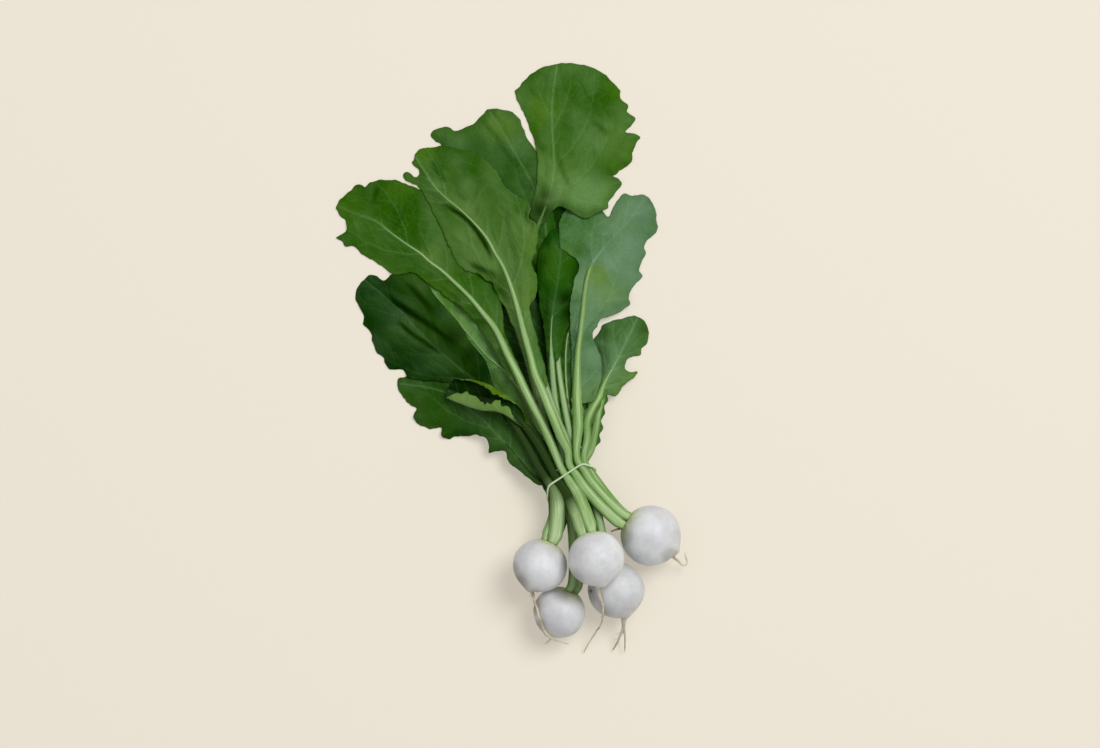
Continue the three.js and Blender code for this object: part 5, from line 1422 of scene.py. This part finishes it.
    # painted shade on the root flanks, together with the twig stubs' own dark colour
    stain = np.zeros(len(V))
    stain = np.maximum(stain, twig)
    for px, py, rp, amt in ROOT_PAINTED_SHADE.get(name, []):
        d = np.linalg.norm(V[:, :2] - plan((px, py)), axis=1) / (rp * U)
        stain = np.maximum(stain, amt * np.exp(-d ** 4) * np.clip((V[:, 2] - r["z"]) / 2 + 1.5, 0, 1))
    ob = make_object("visual_" + name, V, F, {"axis": ax, "tail": tail, "spot": spot, "stain": stain, "lum": np.full(len(V), ROOT_LIGHT_AND_SHADE[name])}, {"flow": flow}, [mat])
    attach(ob, "root")
    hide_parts(name)
    return ob


# ---------------------------------------------------------------- the tie
TIE_BOW = 4.0


def build_tie(mat):
    reach = 3.6 + 0.45 + TIE_R
    pts = []
    for leaf in LEAVES:
        u, row = leaf["slot"]
        for i in range(24):
            a = i * math.pi / 12
            pts.append((u + reach * math.cos(a), row * TIE_ROW + reach * math.sin(a)))
    pts = sorted(set(pts))

    def half(seq):
        h = []
        for p in seq:
            while len(h) >= 2 and (h[-1][0] - h[-2][0]) * (p[1] - h[-2][1]) - (h[-1][1] - h[-2][1]) * (p[0] - h[-2][0]) <= 0:
                h.pop()
            h.append(p)
        return h[:-1]

    hull = half(pts) + half(pts[::-1])
    m = plan(TIE_MID)
    H = []
    for u, w in hull:
        bow = TIE_BOW * max(0.0, w / (TIE_ROW + reach)) * max(0.0, 1 - (u / (22 + reach)) ** 2)
        q = m + TIE_ACROSS * u + TIE_ALONG * (w * TIE_LEAN + bow)
        H.append([q[0], q[1], TIE_Z + w])
    loop = resample(np.array(H), 1.0, closed=True)
    for _ in range(3):
        loop = 0.25 * np.roll(loop, 1, 0) + 0.5 * loop + 0.25 * np.roll(loop, -1, 0)
    K, n = len(loop), 12
    tan = np.roll(loop, -1, 0) - np.roll(loop, 1, 0)
    tan /= np.linalg.norm(tan, axis=1)[:, None]
    cen = loop.mean(0)
    outw = loop - cen
    outw -= tan * np.sum(outw * tan, 1)[:, None]
    outw /= np.linalg.norm(outw, axis=1)[:, None]
    bi = np.cross(tan, outw)
    s = arclen(np.vstack([loop, loop[:1]]))[:-1]
    V, flow = [], []
    for i in range(n):
        a = i * 2 * math.pi / n
        V.append(loop + outw * (TIE_R * 0.97 * math.cos(a)) + bi * (TIE_R * 0.97 * math.sin(a)))
        flow.append(np.stack([np.full(K, math.cos(a)), s * 0.001, np.full(K, math.sin(a))], 1))
    V = np.stack(V, 1).reshape(-1, 3)
    flow = np.stack(flow, 1).reshape(-1, 3)
    F = []
    for k in range(K):
        for i in range(n):
            j = (i + 1) % n
            k2 = (k + 1) % K
            F.append((k * n + i, k * n + j, k2 * n + j, k2 * n + i))
    ob = make_object("visual_tie", V, outward(V, F), {}, {"flow": flow}, [mat])
    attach(ob, "root")
    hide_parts("tie")
    return ob


# ---------------------------------------------------------------- looks
def look(seed, face, back, **kw):
    mat = leaf_material("leaf_%02d" % seed, [srgb(*c) for c in face], [srgb(*c) for c in back],
                        kw.pop("gloss", 0.46), kw.pop("net", 1.0), kw.pop("veins", 1.0))
    return dict(seed=seed, leaf_mat=mat, stalk_mat=kw.pop("stalk", STALKS[0]), **kw)


STALKS = [stalk_material("stalk_fresh"),
          stalk_material("stalk_deep", pale=(0.27, 0.42, 0.17), deep=(0.12, 0.24, 0.06)),
          stalk_material("stalk_pale", pale=(0.46, 0.60, 0.28), deep=(0.26, 0.42, 0.13)),
          # stalk in shade: darker greens, and near-black painted shade past the tie
          stalk_material("stalk_painted_shade", pale=(0.30, 0.44, 0.17), deep=(0.12, 0.23, 0.055), past=(0.014, 0.036, 0.004), past_at=(0.11, 0.22), past_mix=0.96),
          stalk_material("stalk_leafy", pale=(0.27, 0.42, 0.17), deep=(0.12, 0.24, 0.06), past=(0.075, 0.155, 0.035), past_at=(0.48, 0.64), past_mix=0.9),
          stalk_material("stalk_bright", pale=(0.33, 0.52, 0.17), fade_to=0.22)]

DARK = [(20, 58, 3), (46, 86, 28)]
MID = [(32, 76, 0), (60, 102, 24)]
BACK = [(62, 100, 40), (96, 134, 82)]


# in each look the shade spots are near-black painted shade (plan x, plan y, radius, amount); patches shift the tone,
# paler ones partly painted sheen, darker ones partly painted shade; creases: points, width, tone shift (negative for
# painted shade in the fold, positive for a painted highlight), fold height
LOOKS = {
    "leaf_under_left": look(1, DARK, BACK, tone=0.3, wings=(130, 5.5)),
    "leaf_under_middle": look(2, DARK, BACK, tone=0.3, wings=(120, 5)),
    "leaf_slit": look(3, [(14, 50, 2), (40, 84, 22)], BACK, tone=0.3, wings=(60, 5), rib=0.5, free=2.4, gloom=[(541, 245, 20, 0.92), (540, 290, 20, 0.9), (541, 205, 12, 0.8), (541, 325, 14, 0.7)], stalk=STALKS[4]),
    "leaf_under_right": look(4, [(24, 66, 8), (58, 100, 44)], BACK, tone=0.35, wings=(40, 2.0), rib=0.75, stalk=STALKS[0], free=1.9),
    "leaf_edge_right": look(5, [(40, 84, 24), (80, 120, 64)], BACK, wings=(50, 3.5)),
    "leaf_behind_left": look(6, MID, [(46, 88, 24), (84, 128, 62)], back_up=True, stalk=STALKS[0], free=2.0, tone=0.75, patches=[(448, 303, 12, -0.6), (484, 344, 14, 0.3)], wings=(70, 4)),
    "leaf_low_left_small": look(7, [(22, 60, 4), (52, 92, 28)], BACK, rib=0.42, wide=1.8, bow=-1.0, ruffle=2.6, stalk=STALKS[3], free=1.7, tone=0.45, fade=0.1, patches=[(410, 392, 12, -0.35), (490, 442, 11, 0.4), (508, 460, 8, 0.2)]),
    "leaf_low_left": look(8, [(6, 40, 0), (30, 74, 9)], BACK, rib=0.34, veins=0.55, wide=1.85, ruffle=2.4, wings=(45, 5), stalk=STALKS[3], free=1.9, creases=[([(380, 290), (394, 302), (412, 314), (430, 326), (447, 339), (463, 352)], 2.4, -0.8, 1.8), ([(395, 318), (410, 333), (428, 345), (446, 356)], 1.8, -0.6, 1.2), ([(404, 282), (420, 298), (436, 315)], 2.6, -0.5, 1.2)], gloom=[(452, 336, 14, 0.75), (468, 355, 10, 0.7), (385, 284, 8, 0.3), (432, 312, 12, 0.35), (478, 372, 10, 0.5)], patches=[(374, 288, 12, -0.15), (405, 290, 16, -0.3), (425, 300, 14, -0.3), (430, 325, 14, -0.35), (450, 345, 16, -0.4), (398, 335, 14, 0.15), (470, 365, 12, -0.3)], tone=0.34, fade=0.0),
    "leaf_tip_middle": look(9, [(32, 74, 4), (64, 104, 42)], BACK, rib=0.30, veins=0.6, gloom=[(534, 186, 9, 0.5), (538, 205, 8, 0.6)], stalk=STALKS[4], free=2.2, ruffle=2.4, tone=0.36, fade=-0.1, patches=[(443, 139, 16, 0.35), (462, 140, 10, 0.25), (505, 130, 14, -0.3), (520, 165, 12, -0.2), (482, 125, 9, 0.1)], yellow=[(500, 128, 16, 0.5)], creases=[([(480, 118), (492, 134), (506, 152), (520, 172)], 2.6, -0.10, 1.0)], wings=(110, 3)),
    "leaf_inner": look(10, [(14, 60, 0), (34, 86, 5)], BACK, rib=0.32, tone=0.28, wings=(60, 2.0), veins=0.8, stalk=STALKS[1], free=2.4, wide=1.5, yellow=[(556, 262, 20, 0.35)], gloom=[(565, 298, 9, 0.9), (569, 312, 10, 0.9), (541, 262, 8, 0.5), (543, 240, 7, 0.5)], patches=[(566, 245, 12, 0.25), (548, 300, 14, -0.1), (575, 290, 10, 0.15)]),
    "leaf_curled": look(11, [(8, 34, 0), (26, 64, 6)], [(70, 104, 14), (114, 148, 76)], rib=0.30, wide=1.6, stalk=STALKS[3]),
    "leaf_low_right": look(12, [(48, 90, 28), (86, 124, 74)], BACK, gloom=[(600, 334, 9, 0.4), (644, 330, 7, 0.4), (598, 352, 8, 0.35)], rib=0.55, ruffle=2.0, tone=0.46, wings=(40, 3.5)),
    "leaf_right": look(13, MID, [(58, 100, 44), (104, 138, 104)], back_up=True, ruffle=2.2, tone=0.57, fade=-0.1, patches=[(567, 226, 15, -0.55), (576, 247, 12, -0.5), (578, 300, 9, -0.4), (576, 350, 12, -0.5), (588, 370, 12, -0.45), (590, 340, 10, -0.35), (590, 218, 9, 0.15), (640, 215, 14, 0.15), (615, 262, 14, 0.15), (588, 212, 10, -0.3)], rib_to=0.64, rib_min=1.9, rib_trace=0.25, rib_up=0.1, veins=0.4, wings=(30, 3), wide=1.35, broad_foot=1.5, stalk=STALKS[0], yellow=[(597, 275, 13, 1.0)]),
    "leaf_tip_right": look(14, [(42, 86, 2), (82, 122, 54)], BACK, creases=[([(556, 150), (560, 165), (566, 180), (572, 192)], 2.4, -0.12, 1.0), ([(590, 120), (602, 130), (612, 136)], 2.6, -0.08, 1.2), ([(575, 100), (590, 92), (602, 88)], 2.6, 0.2, 1.0)], yellow=[(545, 108, 18, 0.4), (612, 134, 12, 0.35)], patches=[(578, 186, 16, 0.45), (596, 196, 12, 0.3), (560, 196, 10, 0.2), (600, 110, 18, -0.2), (560, 120, 20, -0.15), (612, 150, 12, -0.15), (625, 130, 8, 0.2)], rib=0.22, veins=0.6, free=1.8, gloom=[(540, 211, 16, 0.97), (545, 196, 10, 0.7), (560, 206, 7, 0.4)], ruffle=3.0, tone=0.50, fade=0.25, stalk=STALKS[4], taper=2.4),
    "leaf_left_big": look(15, MID, [(36, 80, 0), (76, 114, 46)], back_up=True, ruffle=3.0, free=3.4, tone=0.42, fade=0.50, wide=1.6, veins=0.6, rib_to=0.84, rib_trace=0.4, stalk=STALKS[5], tooth=1.1, broad_foot=1.2, creases=[([(372, 205), (376, 192), (378, 184)], 1.6, -0.5, 0.8), ([(392, 232), (400, 218), (404, 204)], 1.8, -0.35, 0.8), ([(425, 262), (436, 250), (446, 244)], 2.4, 0.2, 0.8), ([(500, 345), (507, 330), (509, 315)], 2.0, -0.3, 0.5)], patches=[(352, 196, 14, -0.15), (372, 190, 10, 0.2), (446, 268, 11, 0.15), (410, 215, 12, -0.2), (385, 236, 11, 0.2), (430, 240, 11, -0.2)], yellow=[(398, 188, 15, 0.45), (350, 200, 12, 0.35), (432, 255, 13, 0.3)]),
    "leaf_spine": look(16, MID, [(38, 82, 0), (82, 118, 56)], back_up=True, ruffle=1.8, free=3.4, tone=0.48, fade=0.3, wide=1.5, veins=0.75, stalk=STALKS[5], tooth=1.1, broad_foot=1.2, settle=1.0, creases=[([(440, 202), (452, 209), (464, 217), (476, 230), (486, 246), (493, 262)], 2.0, -0.9, 1.6), ([(499, 200), (506, 226), (512, 256), (516, 284)], 3.0, 0.22, 1.0), ([(430, 158), (438, 172), (446, 184)], 2.2, -0.3, 0.9), ([(468, 262), (478, 268), (488, 272), (496, 278)], 2.0, -0.4, 0.8)], patches=[(455, 160, 9, 0.35), (463, 182, 10, 0.45), (471, 204, 10, 0.4), (425, 153, 11, -0.35), (440, 178, 10, 0.15), (468, 262, 12, 0.3), (500, 230, 11, -0.25), (500, 292, 10, -0.35), (521, 284, 9, 0.2), (520, 205, 10, -0.3), (524, 270, 14, 0.1)], yellow=[(424, 150, 15, 0.4), (500, 172, 13, 0.35), (452, 170, 9, 0.2)]),
}

skin = turnip_material()
for i, (name, r) in enumerate(ROOTS.items()):
    build_root(name, r, skin, i + 1)
for leaf in LEAVES:
    (build_curled if leaf["name"] == "leaf_curled" else build_leaf)(leaf, LOOKS[leaf["name"]])
build_tie(tie_material())

# ---------------------------------------------------------------- table, light and camera
bpy.ops.mesh.primitive_plane_add(size=8.0, location=(0, 0, -0.0005))
table = bpy.context.object
table.name = "table_top"
tm = bpy.data.materials.new("table_paper")
tm.use_nodes = True
tb = tm.node_tree.nodes["Principled BSDF"]
paper = srgb(238, 230, 214)
tb.inputs["Base Color"].default_value = (*[c * 0.56 for c in paper], 1)
tb.inputs["Emission Color"].default_value = (*paper, 1)          # a light table, lit from below as well
tb.inputs["Emission Strength"].default_value = 0.415
tb.inputs["Roughness"].default_value = 0.9
tb.inputs["Specular IOR Level"].default_value = 0.15
table.data.materials.append(tm)
table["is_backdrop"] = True


def area_light(name, loc, target, size, power, colour=(1, 1, 1)):
    d = bpy.data.lights.new(name, "AREA")
    d.shape = "DISK"
    d.size = size
    d.energy = power
    d.color = colour
    o = bpy.data.objects.new(name, d)
    o.location = loc
    o.rotation_euler = (Vector(target) - Vector(loc)).to_track_quat("-Z", "Y").to_euler()
    o.visible_camera = False
    scene.collection.objects.link(o)
    return o


area_light("key", (2.40, 2.15, 5.35), (0, 0, 0), 3.4, 272, (1.0, 1.0, 0.995))
area_light("fill", (-1.3, -0.1, 3.0), (0, 0, 0), 2.6, 8, (0.98, 0.99, 1.0))

world = bpy.data.worlds.new("studio")
scene.world = world
world.use_nodes = True
bg = world.node_tree.nodes["Background"]
bg.inputs[0].default_value = (1.0, 1.0, 1.0, 1)
bg.inputs[1].default_value = 0.40

cam = bpy.data.cameras.new("camera")
cam.lens = 200
cam.sensor_width = 36
cam.clip_end = 50
co = bpy.data.objects.new("camera", cam)
cx, cy = plan((550, 374))
co.location = (cx * 0.001, cy * 0.001, 5.378 + 0.020)
co.rotation_euler = (0, 0, 0)
scene.collection.objects.link(co)
scene.camera = co
scene.view_settings.view_transform = "Standard"
scene.view_settings.look = "None"
scene.view_settings.exposure = 0.0
scene.view_settings.gamma = 1.0

vis_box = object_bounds()


def plain(v):
    if isinstance(v, dict):
        return {k: plain(x) for k, x in v.items()}
    if isinstance(v, (int, float, str)) or v is None:
        return v
    return [plain(x) for x in v]


{"cad": plain(cad_box), "visual": plain(vis_box)}
